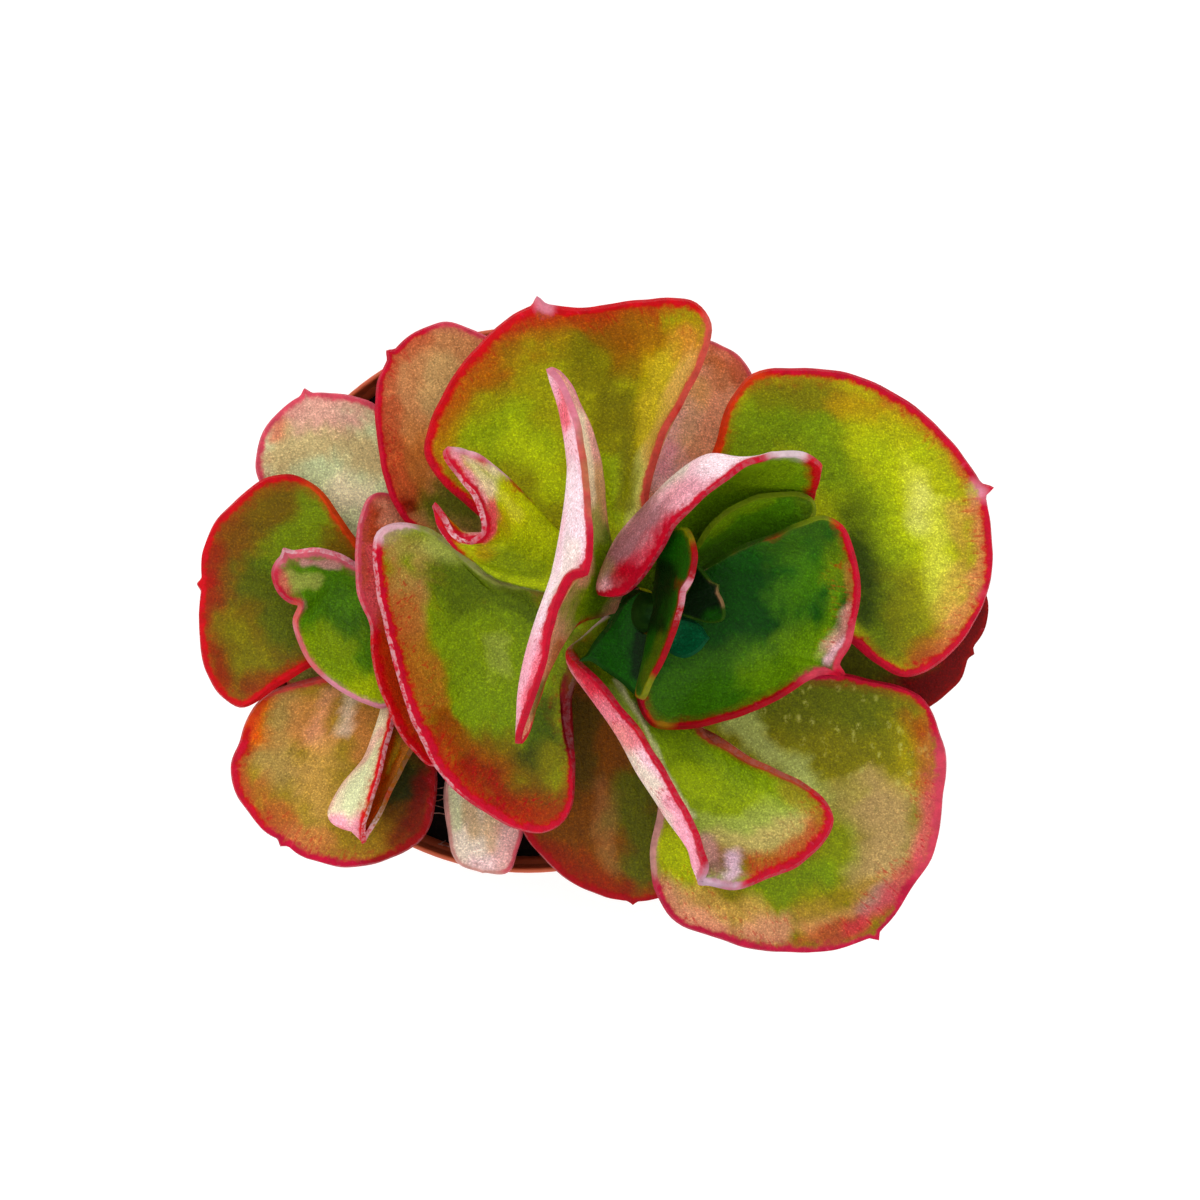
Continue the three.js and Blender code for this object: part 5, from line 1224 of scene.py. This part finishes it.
FROST_HIGHLIGHT_WHITE = (246, 214, 220)
SKIN_SATURATION = 1.05
SKIN_RELIEF = {"grain": 0.4, "fine": 0.5, "blotch": 0.6, "dust": 0.25}
SKIN_BUMP = {"distance": 0.001, "strength": 0.6}
SKIN_ROUGH, SKIN_ROUGH_CLOUD, SKIN_ROUGH_FINE, SKIN_GLOSS = 0.34, 0.16, 0.14, 0.12

# A shade as the eye reads it, up to FULL_SHADE, made linear: a short straight stretch, then a power
FULL_SHADE = 255
LINEAR_BELOW = 0.04045
LINEAR_SLOPE = 12.92
LINEAR_LIFT = 0.055
LINEAR_POWER = 2.4


class Value:
    """A socket of a finish, so that shader maths reads as plain sums."""

    def __init__(self, finish, socket):
        self.finish = finish
        self.socket = socket

    def maths(self, operation, *values):
        return self.finish.node("ShaderNodeMath", {"operation": operation}, dict(enumerate(values)))

    def __add__(self, other):
        return self.maths("ADD", self, other)

    def __radd__(self, other):
        return self.maths("ADD", other, self)

    def __sub__(self, other):
        return self.maths("SUBTRACT", self, other)

    def __rsub__(self, other):
        return self.maths("SUBTRACT", other, self)

    def __mul__(self, other):
        return self.maths("MULTIPLY", self, other)

    def __rmul__(self, other):
        return self.maths("MULTIPLY", other, self)

    def __truediv__(self, other):
        return self.maths("DIVIDE", self, other)

    def __rtruediv__(self, other):
        return self.maths("DIVIDE", other, self)

    def swing(self, amount):
        """Noise that lies round a half, made to lie round nothing and this much wider."""
        return (self - 0.5) * amount

    def rise(self, low, high):
        """0 below low and 1 above high, smoothly."""
        return self.finish.node("ShaderNodeMapRange", {"interpolation_type": "SMOOTHSTEP"},
                                {"Value": self, "From Min": low, "From Max": high})

    def fall(self, low, high):
        return 1 - self.rise(low, high)


class Finish:
    """One material: its nodes are added here and nowhere else."""

    def __init__(self, name):
        self.material = bpy.data.materials.new(name)
        self.material.use_nodes = True
        self.tree = self.material.node_tree
        self.tree.nodes.clear()

    def node(self, kind, settings=None, inputs=None, output=0):
        """Adds a node, sets it, then gives its sockets their values or links."""
        node = self.tree.nodes.new(kind)
        for key, value in (settings or {}).items():
            setattr(node, key, value)
        for key, value in (inputs or {}).items():
            if isinstance(value, Value):
                self.tree.links.new(value.socket, node.inputs[key])
            else:
                node.inputs[key].default_value = value
        return Value(self, node.outputs[output]) if node.outputs else None

    def attribute(self, name, output="Fac"):
        return self.node("ShaderNodeAttribute", {"attribute_name": name}, output=output)

    def place(self):
        return self.node("ShaderNodeTexCoord", output="Object")

    def scaled(self, vector, scale):
        return self.node("ShaderNodeVectorMath", {"operation": "MULTIPLY"}, {0: vector, 1: scale})

    def cloud(self, vector, size, detail, roughness):
        """Soft noise from 0 to 1 whose blotches are about this many metres across."""
        return self.node("ShaderNodeTexNoise", {"noise_dimensions": "3D"},
                         {"Vector": vector, "Scale": 1 / size, "Detail": detail, "Roughness": roughness})

    def cells(self, vector, size):
        """How far each point lies from the middle of its cell, in cell sizes."""
        return self.node("ShaderNodeTexVoronoi", {"feature": "F1"},
                         {"Vector": vector, "Scale": 1 / size}, output="Distance")

    def mix(self, factor, first, second, how="MIX"):
        """Mixes two colours, each a link or a linear (r, g, b, 1). The node takes them at 6 and 7."""
        return self.node("ShaderNodeMix", {"data_type": "RGBA", "blend_type": how},
                         {0: factor, 6: first, 7: second}, output=2)

    def shaded(self, colour, shade):
        """A colour made lighter or darker by a number."""
        grey = self.node("ShaderNodeCombineColor", None, {"Red": shade, "Green": shade, "Blue": shade})
        return self.mix(1, colour, grey, "MULTIPLY")

    def bump(self, height, distance, strength):
        return self.node("ShaderNodeBump", None,
                         {"Height": height, "Distance": distance, "Strength": strength})

    def surface(self, **inputs):
        """Closes the finish with one principled surface; names take spaces for underscores."""
        shader = self.node("ShaderNodeBsdfPrincipled", None,
                           {key.replace("_", " "): value for key, value in inputs.items()})
        self.node("ShaderNodeOutputMaterial", None, {"Surface": shader})
        return self.material


def linear(shade):
    """A colour as the eye reads it, from 0 to 255, made linear for the shaders."""
    value = np.array(shade) / FULL_SHADE
    low = value / LINEAR_SLOPE
    high = ((value + LINEAR_LIFT) / (1 + LINEAR_LIFT)) ** LINEAR_POWER
    return np.where(value <= LINEAR_BELOW, low, high)


def tint(shade):
    """The same as four plain numbers for a colour socket."""
    return (*linear(shade).tolist(), 1)


def weighted(textures, weights):
    """The sum of the named textures, each times its weight."""
    total = None
    for name, weight in weights.items():
        part = textures[name] * weight
        total = total + part if total else part
    return total


def leaf_skin_finish():
    """Waxy leaf skin: painted ground, lengthwise grain, flecks and a red margin that breaks up inwards."""
    finish = Finish("leaf_skin")
    place = finish.place()
    edge = finish.attribute("edge")
    band = finish.attribute("band")
    frost_and_highlight = finish.attribute("frost_and_highlight")
    dots = finish.attribute("dots")
    mottle = finish.attribute("mottle")
    grain_place = finish.attribute("grain_place", "Vector")
    skin = finish.attribute("skin", "Color")
    hem = finish.attribute("hem", "Color")
    cloud = finish.cloud(place, *CLOUD)
    blotch = finish.cloud(place, *BLOTCH)
    grain = finish.cloud(finish.scaled(grain_place, GRAIN_STRETCH), *GRAIN)
    fine = finish.cloud(place, *FINE)
    patch = finish.cloud(place, *PATCH)
    dust = finish.cloud(place, *DUST)
    textures = {"cloud": cloud, "blotch": blotch, "grain": grain, "fine": fine, "dust": dust}

    shade = SKIN_SHADE
    for name, swing in SHADE_SWINGS.items():
        shade = shade + textures[name].swing(swing)
    # Sharp pale specks: partly the skin's own speckle, partly painted glints
    shade = shade + dust.rise(*DUST_SPECK_AND_GLINT) * DUST_SPECK_GLINT_LIFT
    fleck = fine.rise(*FLECK) * patch.rise(*FLECK_PATCH)
    body = finish.shaded(skin, shade + fleck * FLECK_LIFT)
    dot = finish.cells(finish.scaled(place, DOT_STRETCH), DOT_SIZE).fall(*DOT_ROUND)
    dot = dot * fine.rise(*DOT_FINE) * dots
    body = finish.mix(dot * DOT_MIX, body, tint(DOT_YELLOW))

    inward = (edge / band + blotch.swing(INWARD_SWING)).fall(*INWARD)
    speck = finish.cells(place, SPECK_SIZE).fall(*SPECK_ROUND)
    speck = speck * finish.cloud(place, *SPECK_CLOUD).rise(*SPECK_PATCH)
    wash = finish.shaded(hem, WASH_SHADE)
    body = finish.mix(inward * (INWARD_MIX + speck * SPECK_MIX), body, wash)
    mark = finish.cloud(finish.scaled(grain_place, MARK_STRETCH), *MARK).rise(*MARK_MASK)
    mark = mark * finish.cloud(place, *MARK_CLOUD).rise(*MARK_PATCH) * mottle
    body = finish.mix(mark * MARK_MIX, body, tint(MARK_CRIMSON))

    ragged = edge + finish.cloud(place, *RAGGED).swing(band) * RAGGED_SWING
    margin = (ragged / band).fall(*MARGIN)
    margin_colour = finish.shaded(hem, HEM_SHADE + finish.cloud(place, *HEM_CLOUD) * HEM_LIFT)
    streak = finish.cloud(finish.scaled(grain_place, STREAK_STRETCH), *STREAK)
    pale_streak = streak.rise(*PALE_STREAK) * patch.rise(*PALE_PATCH)
    margin_colour = finish.mix(pale_streak * PALE_MIX, margin_colour, tint(PALE_PINK))
    colour = finish.mix(margin, body, margin_colour)
    # The pale outermost line: partly the leaf's own frosty edge, partly a painted highlight on the rounded
    # rim
    outermost = (edge + fine.swing(FRAY_SWING)).fall(*OUTERMOST) * frost_and_highlight
    colour = finish.mix(outermost * FROST_HIGHLIGHT_MIX, colour, tint(FROST_HIGHLIGHT_WHITE))
    colour = finish.node("ShaderNodeHueSaturation", None, {"Color": colour, "Saturation": SKIN_SATURATION})

    bump = finish.bump(weighted(textures, SKIN_RELIEF), **SKIN_BUMP)
    roughness = SKIN_ROUGH + cloud * SKIN_ROUGH_CLOUD + fine * SKIN_ROUGH_FINE
    return finish.surface(Base_Color=colour, Roughness=roughness, Specular_IOR_Level=SKIN_GLOSS, Normal=bump)


def raise_edge(profile):
    """Carries the open edge of a turned piece along (radius, height) steps by extruding and resizing it."""
    radius, height = profile[0]
    bpy.ops.object.mode_set(mode="EDIT")
    bpy.ops.mesh.select_mode(type="EDGE")
    bpy.ops.mesh.select_all(action="DESELECT")
    bpy.ops.mesh.select_non_manifold()
    for next_radius, next_height in profile[1:]:
        bpy.ops.mesh.extrude_edges_move()
        scale = next_radius / radius
        bpy.ops.transform.resize(value=(scale, scale, 1))
        bpy.ops.transform.translate(value=(0, 0, (next_height - height) * MM))
        radius, height = next_radius, next_height


def turned_piece(name, profile, sides):
    """A closed round piece: a filled circle whose edge is carried up, over and in, then filled."""
    radius, height = profile[0]
    piece = start_piece(name, bpy.ops.mesh.primitive_circle_add, vertices=sides, radius=radius * MM,
                        fill_type="NGON", location=(0, 0, height * MM))
    bpy.ops.object.transform_apply(location=True, rotation=True, scale=True)
    raise_edge(profile)
    bpy.ops.mesh.edge_face_add()
    bpy.ops.mesh.select_all(action="SELECT")
    bpy.ops.mesh.normals_make_consistent(inside=False)
    bpy.ops.object.mode_set(mode="OBJECT")
    return piece


def cut_away(piece, cutter):
    """Takes the cutter's shape out of the piece and removes the cutter."""
    pick(piece)
    apply_modifier(piece, "BOOLEAN", operation="DIFFERENCE", solver="EXACT", object=cutter)
    bpy.data.objects.remove(cutter)


def joined(name, things):
    """One mesh piece made of several objects."""
    pick(*things)
    bpy.ops.object.convert(target="MESH")
    bpy.ops.object.join()
    bpy.ops.object.transform_apply(location=True, rotation=True, scale=True)
    piece = bpy.context.object
    piece.name = piece.data.name = name
    return piece


def pot_profile():
    """The pot's outline as (radius, height): up the outside, over the lip and down the inside."""
    collar_foot = POT_HEIGHT - COLLAR_HEIGHT
    wall_top = RIM_RADIUS - COLLAR_STEP
    slope = (wall_top - FOOT_RADIUS) / (collar_foot - FOOT_CORNER)
    rounding = CORNER_ROUNDING * FOOT_CORNER

    def wall_radius(height):
        return FOOT_RADIUS + slope * (height - FOOT_CORNER)

    profile = [(FOOT_RADIUS - FOOT_CORNER, 0), (FOOT_RADIUS - rounding, rounding),
               (FOOT_RADIUS, FOOT_CORNER)]
    for height in RING_HEIGHTS:
        profile += [(wall_radius(height - RING_WIDTH), height - RING_WIDTH),
                    (wall_radius(height) + RING_DEPTH, height),
                    (wall_radius(height + RING_WIDTH), height + RING_WIDTH)]
    step_foot = collar_foot - STEP_BELOW
    profile += [(wall_radius(step_foot), step_foot), (wall_top + STEP_PROUD, collar_foot)]
    profile += [(RIM_RADIUS - inset, collar_foot + rise) for inset, rise in COLLAR_ROUNDING]
    bead_foot, bead_top = BEAD_DROPS
    profile += [(RIM_RADIUS - BEAD_PROUD, POT_HEIGHT - bead_foot), (RIM_RADIUS, POT_HEIGHT - bead_top)]
    lip = POT_WALL / 2
    for step in range(LIP_STEPS + 1):
        turn = math.pi * step / LIP_STEPS
        profile.append((RIM_RADIUS - lip + lip * math.cos(turn), POT_HEIGHT - lip + lip * math.sin(turn)))
    foot = FOOT_RADIUS - POT_WALL
    profile += [(RIM_RADIUS - POT_WALL, collar_foot + INNER_STEP + POT_WALL),
                (wall_top - POT_WALL, collar_foot), (foot, POT_FLOOR + FOOT_CORNER),
                (foot - rounding, POT_FLOOR + rounding), (foot - FOOT_CORNER, POT_FLOOR)]
    return profile


def make_pot():
    piece = turned_piece("pot_shell", pot_profile(), POT_SIDES)
    for k in range(HOLE_COUNT):
        turn = 2 * math.pi * (k + 0.5) / HOLE_COUNT
        place = (HOLE_CIRCLE * MM * math.cos(turn), HOLE_CIRCLE * MM * math.sin(turn), POT_FLOOR / 2 * MM)
        cutter = start_piece("hole_cutter", bpy.ops.mesh.primitive_cylinder_add, vertices=HOLE_SIDES,
                             radius=HOLE_RADIUS * MM, depth=CUTTER_LENGTH * MM, location=place)
        cut_away(piece, cutter)
    return finish_piece(piece, pot_plastic_finish(), "pot_plastic", "pot", angle=POT_CREASE)


def stem_solid(name, stem, grown):
    """A leaning, tapered stem ringed by leaf scars, or a plain one grown wider, which cuts its socket."""
    foot, top = in_metres(stem["foot"]), in_metres(stem["top"])
    low, high = foot[2] / MM - grown, top[2] / MM + grown
    profile = []
    for step in range(STEM_STEPS + 1):
        up = step / STEM_STEPS
        radius = stem["foot_radius"] + (stem["top_radius"] - stem["foot_radius"]) * up + grown
        if not grown:
            scar = (step % SCAR_EVERY) / SCAR_EVERY
            radius -= SCAR_DEPTH * (1 - abs(2 * scar - 1)) + SCAR_DEPTH * SCAR_INSET
        dome = max(0, (up - STEM_DOME) / (1 - STEM_DOME))
        radius *= math.sqrt(max(STEM_TIP, 1 - dome ** 2))
        profile.append((radius, low + (high - low) * up))
    piece = turned_piece(name, profile, STEM_SIDES)
    points = positions(piece.data)
    up = (points[:, 2] - foot[2]) / (top[2] - foot[2])
    points[:, :2] += foot[:2] + np.clip(up, *LEAN_ENDS)[:, None] * (top[:2] - foot[:2])
    if not grown:
        lumps = spots(points, STEM_LUMP_SIZE, len(name))
        out = points[:, :2] - (foot[:2] + up[:, None] * (top[:2] - foot[:2]))
        points[:, :2] -= out * np.clip(STEM_LUMP * lumps[:, None] + STEM_SHRINK, 0, STEM_SHRINK_MOST)
    set_positions(piece.data, points)
    return piece


def make_stem(name, stem):
    piece = stem_solid(name + "_bark", stem, 0)
    points = positions(piece.data)
    foot, top = in_metres(stem["foot"]), in_metres(stem["top"])
    keep(piece.data, "young", ramp((points[:, 2] - foot[2]) / (top[2] - foot[2]), *YOUNG_BARK))
    return finish_piece(piece, stem_bark, "stem_bark", name)


def soil_height(x, y):
    """Height of the soil's top at a place in metres, in millimetres above the floor."""
    far = math.hypot(x, y) / MM
    edge_start, edge_end = SOIL_EDGE
    fade = 1 - float(ramp(far, SOIL_RADIUS - edge_start, SOIL_RADIUS - edge_end))
    place = Vector((x, y, 0)) / MM
    lumps = sum(noise.fractal(place / width, SOIL_LUMP_SOFTNESS, LUMP_STEP, octaves) * height
                for width, height, octaves in SOIL_LUMPS)
    return SOIL_TOP - SOIL_SINK - SOIL_EDGE_DROP * (1 - fade) + lumps * fade


def make_soil():
    """Potting mix up to its lumpy top, with a socket for each stem."""
    inner_foot = FOOT_RADIUS - POT_WALL - SOIL_GAP
    floor_top = POT_FLOOR + SOIL_GAP
    profile = [(inner_foot - FOOT_CORNER, floor_top), (inner_foot, floor_top + FOOT_CORNER),
               (SOIL_RADIUS, POT_HEIGHT - COLLAR_HEIGHT), (SOIL_RADIUS, SOIL_TOP - SOIL_EDGE_DROP)]
    profile += [(SOIL_RADIUS * (1 - k / SOIL_RINGS), SOIL_TOP) for k in range(1, SOIL_RINGS)]
    piece = turned_piece("soil_mix", profile, SOIL_SIDES)
    points = positions(piece.data)
    for point in points:
        if point[2] > (SOIL_TOP - SOIL_SKIN) * MM:
            point[2] = soil_height(point[0], point[1]) * MM
    set_positions(piece.data, points)
    for stem in (MAIN_STEM, OFFSET_STEM):
        cut_away(piece, stem_solid("socket_cutter", stem, STEM_SOCKET))
    return finish_piece(piece, potting_soil, "potting_soil", "soil")


def lies_clear(place, size, placed):
    """True if a crumb here, of this size, stays off the stems and off the crumbs already placed."""
    gap, _ = stem_gap(np.array([place]), np.array([[1, 0, 0]]))
    if gap[0] < size + CRUMB_STEM_GAP:
        return False
    return all((place - other).length >= (size + reach) * CRUMB_SPACING * MM for other, reach in placed)


def make_crumbs():
    """Crumbs of bark and peat that lie on the soil, clear of each other, of the wall and of the stems."""
    placed = []
    crumbs = []
    for _ in range(CRUMB_TRIES):
        far = (SOIL_RADIUS - CRUMB_WALL_GAP) * math.sqrt(random.random())
        turn = random.uniform(0, 2 * math.pi)
        size = random.uniform(*CRUMB_SIZES)
        x, y = far * math.cos(turn) * MM, far * math.sin(turn) * MM
        place = Vector((x, y, (soil_height(x, y) + CRUMB_RISE * size) * MM))
        if not lies_clear(place, size, placed):
            continue
        placed.append((place, size))
        crumb = start_piece("crumb", bpy.ops.mesh.primitive_ico_sphere_add, subdivisions=CRUMB_DETAIL,
                            radius=size * MM, location=place)
        crumb.rotation_euler = [random.uniform(0, math.pi) for _ in range(3)]
        crumb.scale = (1, random.uniform(*CRUMB_DEPTHS), random.uniform(*CRUMB_HEIGHTS))
        crumbs.append(crumb)
    piece = joined("soil_crumbs", crumbs)
    points = positions(piece.data)
    lumps = np.array([noise.noise_vector(Vector(point) / CRUMB_LUMP_SIZE) for point in points / MM])
    set_positions(piece.data, points + lumps * CRUMB_LUMP * MM)
    return finish_piece(piece, soil_crumb, "potting_soil", angle=CRUMB_CREASE)


def make_rootlets():
    """Fine dry rootlets that lie on the soil, each a thin tapering tube."""
    tubes = []
    for line in ROOTLETS:
        curve = bpy.data.curves.new("rootlet", "CURVE")
        curve.dimensions = "3D"
        curve.bevel_depth = ROOTLET_RADIUS * MM
        curve.bevel_resolution = ROOTLET_DETAIL
        curve.use_fill_caps = True
        spline = curve.splines.new("NURBS")
        spline.points.add(len(line) - 1)
        for k, (x, y, lift) in enumerate(line):
            place = in_metres((x, y, SOIL_TOP - POT_HEIGHT))
            height = (soil_height(place[0], place[1]) + ROOTLET_RADIUS + lift) * MM
            spline.points[k].co = (place[0], place[1], height, 1)
            spline.points[k].radius = 1 - ROOTLET_TAPER * k / (len(line) - 1)
        spline.use_endpoint_u = True
        tube = bpy.data.objects.new("rootlet", curve)
        bpy.context.scene.collection.objects.link(tube)
        tubes.append(tube)
    return finish_piece(joined("rootlets", tubes), dry_root, "stem_bark")


# Pot plastic, potting soil, bark and roots, named as the leaf skin's values are
POT_FLOW, POT_FLOW_STRETCH, POT_FLOW_MASK = (0.012, 4, 0.6), (1, 1, 0.18), (0.25, 0.75)
POT_MOTTLE, POT_MOTTLE_MASK, POT_MOTTLE_MIX = (0.03, 3, 0.5), (0.45, 0.7), 0.2
POT_FINE = (0.0012, 3, 0.6)
POT_SCUFF, POT_SCUFF_STRETCH, POT_SCUFF_MASK, POT_SCUFF_MIX = (0.01, 5, 0.7), (1, 1, 6), (0.6, 0.72), 0.22
POT_ORANGE, POT_LIGHT, POT_DARK, POT_WORN = (190, 86, 50), (199, 94, 57), (178, 78, 46), (216, 140, 108)
POT_RELIEF = {"flow": 0.4, "fine": 0.3, "scuff": 0.3}
POT_BUMP = {"distance": 0.00012, "strength": 0.5}
POT_ROUGH, POT_ROUGH_FINE, POT_ROUGH_SCUFF, POT_GLOSS = 0.38, 0.14, 0.2, 0.35

SOIL_GRAIN_SIZE, SOIL_SPECK_SIZE = 0.0016, 0.003
SOIL_CLOUD, SOIL_FINE = (0.004, 5, 0.7), (0.0006, 3, 0.7)
SOIL_LIGHT_MASK, SOIL_SPECK_ROUND, SOIL_SPECK_MASK = (0.35, 0.75), (0.05, 0.13), (0.5, 0.6)
SOIL_SPECK_MIX, SOIL_SPECK_TAN = 0.5, (96, 78, 60)
SOIL_RELIEF = {"grains": 0.5, "cloud": 0.8, "fine": 0.3}
SOIL_BUMP = {"distance": 0.0008, "strength": 0.8}
SOIL_ROUGH, SOIL_ROUGH_FINE, SOIL_GLOSS = 0.8, 0.15, 0.15
MIX_DARK, MIX_LIGHT = (10, 7, 5), (44, 32, 22)
CRUMB_DARK, CRUMB_LIGHT = (14, 10, 8), (66, 48, 34)

BARK_FISSURE, BARK_STRETCH, BARK_MASK = (0.0025, 4, 0.65), (1, 1, 0.3), (0.3, 0.7)
BARK_CLOUD, BARK_OLIVE_MASK, BARK_OLIVE_MIX = (0.007, 3, 0.6), (0.5, 0.7), 0.5
BARK_DARK, BARK_LIGHT, BARK_OLIVE = (92, 76, 52), (150, 132, 98), (118, 104, 66)
GREEN_MASK, GREEN_DARK, GREEN_LIGHT = (0.35, 0.65), (12, 54, 4), (38, 82, 10)
YOUNG_SWING, YOUNG_MASK = 0.4, (0.3, 0.7)
BARK_RELIEF_CLOUD = 0.5
BARK_BUMP = {"distance": 0.0005, "strength": 0.7}
BARK_ROUGH, BARK_ROUGH_FISSURE, BARK_GLOSS = 0.6, 0.25, 0.2

ROOT_CLOUD, ROOT_MASK, ROOT_DARK, ROOT_LIGHT = (0.0015, 3, 0.6), (0.35, 0.65), (120, 74, 62), (204, 156, 142)
ROOT_BUMP = {"distance": 0.0001, "strength": 0.5}
ROOT_ROUGH, ROOT_ROUGH_CLOUD, ROOT_GLOSS = 0.6, 0.2, 0.2


def pot_plastic_finish():
    """Thin moulded plastic, satin orange-brown, with faint flow marks and scuffs."""
    finish = Finish("pot_plastic")
    place = finish.place()
    flow = finish.cloud(finish.scaled(place, POT_FLOW_STRETCH), *POT_FLOW)
    mottle = finish.cloud(place, *POT_MOTTLE)
    fine = finish.cloud(place, *POT_FINE)
    scuff = finish.cloud(finish.scaled(place, POT_SCUFF_STRETCH), *POT_SCUFF).rise(*POT_SCUFF_MASK)
    colour = finish.mix(flow.rise(*POT_FLOW_MASK), tint(POT_ORANGE), tint(POT_LIGHT))
    colour = finish.mix(mottle.rise(*POT_MOTTLE_MASK) * POT_MOTTLE_MIX, colour, tint(POT_DARK))
    colour = finish.mix(scuff * POT_SCUFF_MIX, colour, tint(POT_WORN))
    height = weighted({"flow": flow, "fine": fine, "scuff": scuff}, POT_RELIEF)
    roughness = POT_ROUGH + fine * POT_ROUGH_FINE + scuff * POT_ROUGH_SCUFF
    return finish.surface(Base_Color=colour, Roughness=roughness, Specular_IOR_Level=POT_GLOSS,
                          Normal=finish.bump(height, **POT_BUMP))


def potting_soil_finish(name, dark, light):
    """Damp peat and bark: nearly black, with brown grains."""
    finish = Finish(name)
    place = finish.place()
    grains = finish.cells(place, SOIL_GRAIN_SIZE)
    cloud = finish.cloud(place, *SOIL_CLOUD)
    fine = finish.cloud(place, *SOIL_FINE)
    colour = finish.mix(cloud.rise(*SOIL_LIGHT_MASK) * fine, tint(dark), tint(light))
    speck = finish.cells(place, SOIL_SPECK_SIZE).fall(*SOIL_SPECK_ROUND) * cloud.rise(*SOIL_SPECK_MASK)
    colour = finish.mix(speck * SOIL_SPECK_MIX, colour, tint(SOIL_SPECK_TAN))
    height = weighted({"grains": 1 - grains, "cloud": cloud, "fine": fine}, SOIL_RELIEF)
    return finish.surface(Base_Color=colour, Roughness=SOIL_ROUGH + fine * SOIL_ROUGH_FINE,
                          Specular_IOR_Level=SOIL_GLOSS, Normal=finish.bump(height, **SOIL_BUMP))


def stem_bark_finish():
    """Grey-brown corky bark with leaf scars, green where the stem is young."""
    finish = Finish("stem_bark")
    place = finish.place()
    young = finish.attribute("young")
    fissure = finish.cloud(finish.scaled(place, BARK_STRETCH), *BARK_FISSURE)
    cloud = finish.cloud(place, *BARK_CLOUD)
    colour = finish.mix(fissure.rise(*BARK_MASK), tint(BARK_DARK), tint(BARK_LIGHT))
    colour = finish.mix(cloud.rise(*BARK_OLIVE_MASK) * BARK_OLIVE_MIX, colour, tint(BARK_OLIVE))
    green = finish.mix(cloud.rise(*GREEN_MASK), tint(GREEN_DARK), tint(GREEN_LIGHT))
    colour = finish.mix((young + cloud.swing(YOUNG_SWING)).rise(*YOUNG_MASK), colour, green)
    height = fissure + cloud * BARK_RELIEF_CLOUD
    return finish.surface(Base_Color=colour, Roughness=BARK_ROUGH + fissure * BARK_ROUGH_FISSURE,
                          Specular_IOR_Level=BARK_GLOSS, Normal=finish.bump(height, **BARK_BUMP))


def dry_root_finish():
    """Dry rootlets, pinkish tan."""
    finish = Finish("dry_root")
    cloud = finish.cloud(finish.place(), *ROOT_CLOUD)
    colour = finish.mix(cloud.rise(*ROOT_MASK), tint(ROOT_DARK), tint(ROOT_LIGHT))
    return finish.surface(Base_Color=colour, Roughness=ROOT_ROUGH + cloud * ROOT_ROUGH_CLOUD,
                          Specular_IOR_Level=ROOT_GLOSS, Normal=finish.bump(cloud, **ROOT_BUMP))


def add_light(name, size, power, place, aim):
    """A square lamp at a place in metres, turned towards its aim."""
    lamp = bpy.data.lights.new(name, "AREA")
    lamp.shape = "SQUARE"
    lamp.size = size
    lamp.energy = power
    thing = bpy.data.objects.new(name, lamp)
    thing.location = place
    thing.rotation_euler = (Vector(aim) - thing.location).to_track_quat("-Z", "Y").to_euler()
    bpy.context.scene.collection.objects.link(thing)


def add_camera():
    """The camera at the eye, looking straight down on the pot's rim."""
    camera = bpy.data.cameras.new("camera")
    camera.sensor_width = SENSOR
    camera.lens = SENSOR * EYE_HEIGHT / VIEW_WIDTH
    thing = bpy.data.objects.new("camera", camera)
    thing.location = Vector((EYE_X, 0, POT_HEIGHT + EYE_HEIGHT)) * MM
    bpy.context.scene.collection.objects.link(thing)
    bpy.context.scene.camera = thing


def add_floor():
    """A pale plain floor that glows a little, so that shadows stay soft."""
    floor = start_piece("studio_floor", bpy.ops.mesh.primitive_plane_add,
                        size=FLOOR_SIZE, location=(0, 0, -FLOOR_DROP))
    finish = Finish("studio_floor")
    floor.data.materials.append(finish.surface(Base_Color=tint(FLOOR_GREY), Roughness=FLOOR_ROUGH,
                                               Emission_Color=WHITE, Emission_Strength=FLOOR_GLOW))


def add_sky():
    """Even white light from all round."""
    world = bpy.data.worlds.new("studio")
    bpy.context.scene.world = world
    world.use_nodes = True
    sky = world.node_tree.nodes["Background"]
    sky.inputs["Color"].default_value = WHITE
    sky.inputs["Strength"].default_value = 1


leaf_skin = leaf_skin_finish()
for leaf_name in LEAVES:
    make_leaf(leaf_name)

random.seed(SEED)
stem_bark = stem_bark_finish()
potting_soil = potting_soil_finish("potting_soil", MIX_DARK, MIX_LIGHT)
soil_crumb = potting_soil_finish("soil_crumb", CRUMB_DARK, CRUMB_LIGHT)
dry_root = dry_root_finish()
make_pot()
make_soil()
make_stem("main_stem", MAIN_STEM)
make_stem("offset_stem", OFFSET_STEM)
make_crumbs()
make_rootlets()

add_floor()
add_sky()
add_light("overhead_softbox", LAMP_SIZE, LAMP_POWER, LAMP_PLACE, LAMP_AIM)
add_camera()
bpy.context.scene.view_settings.view_transform = "Standard"
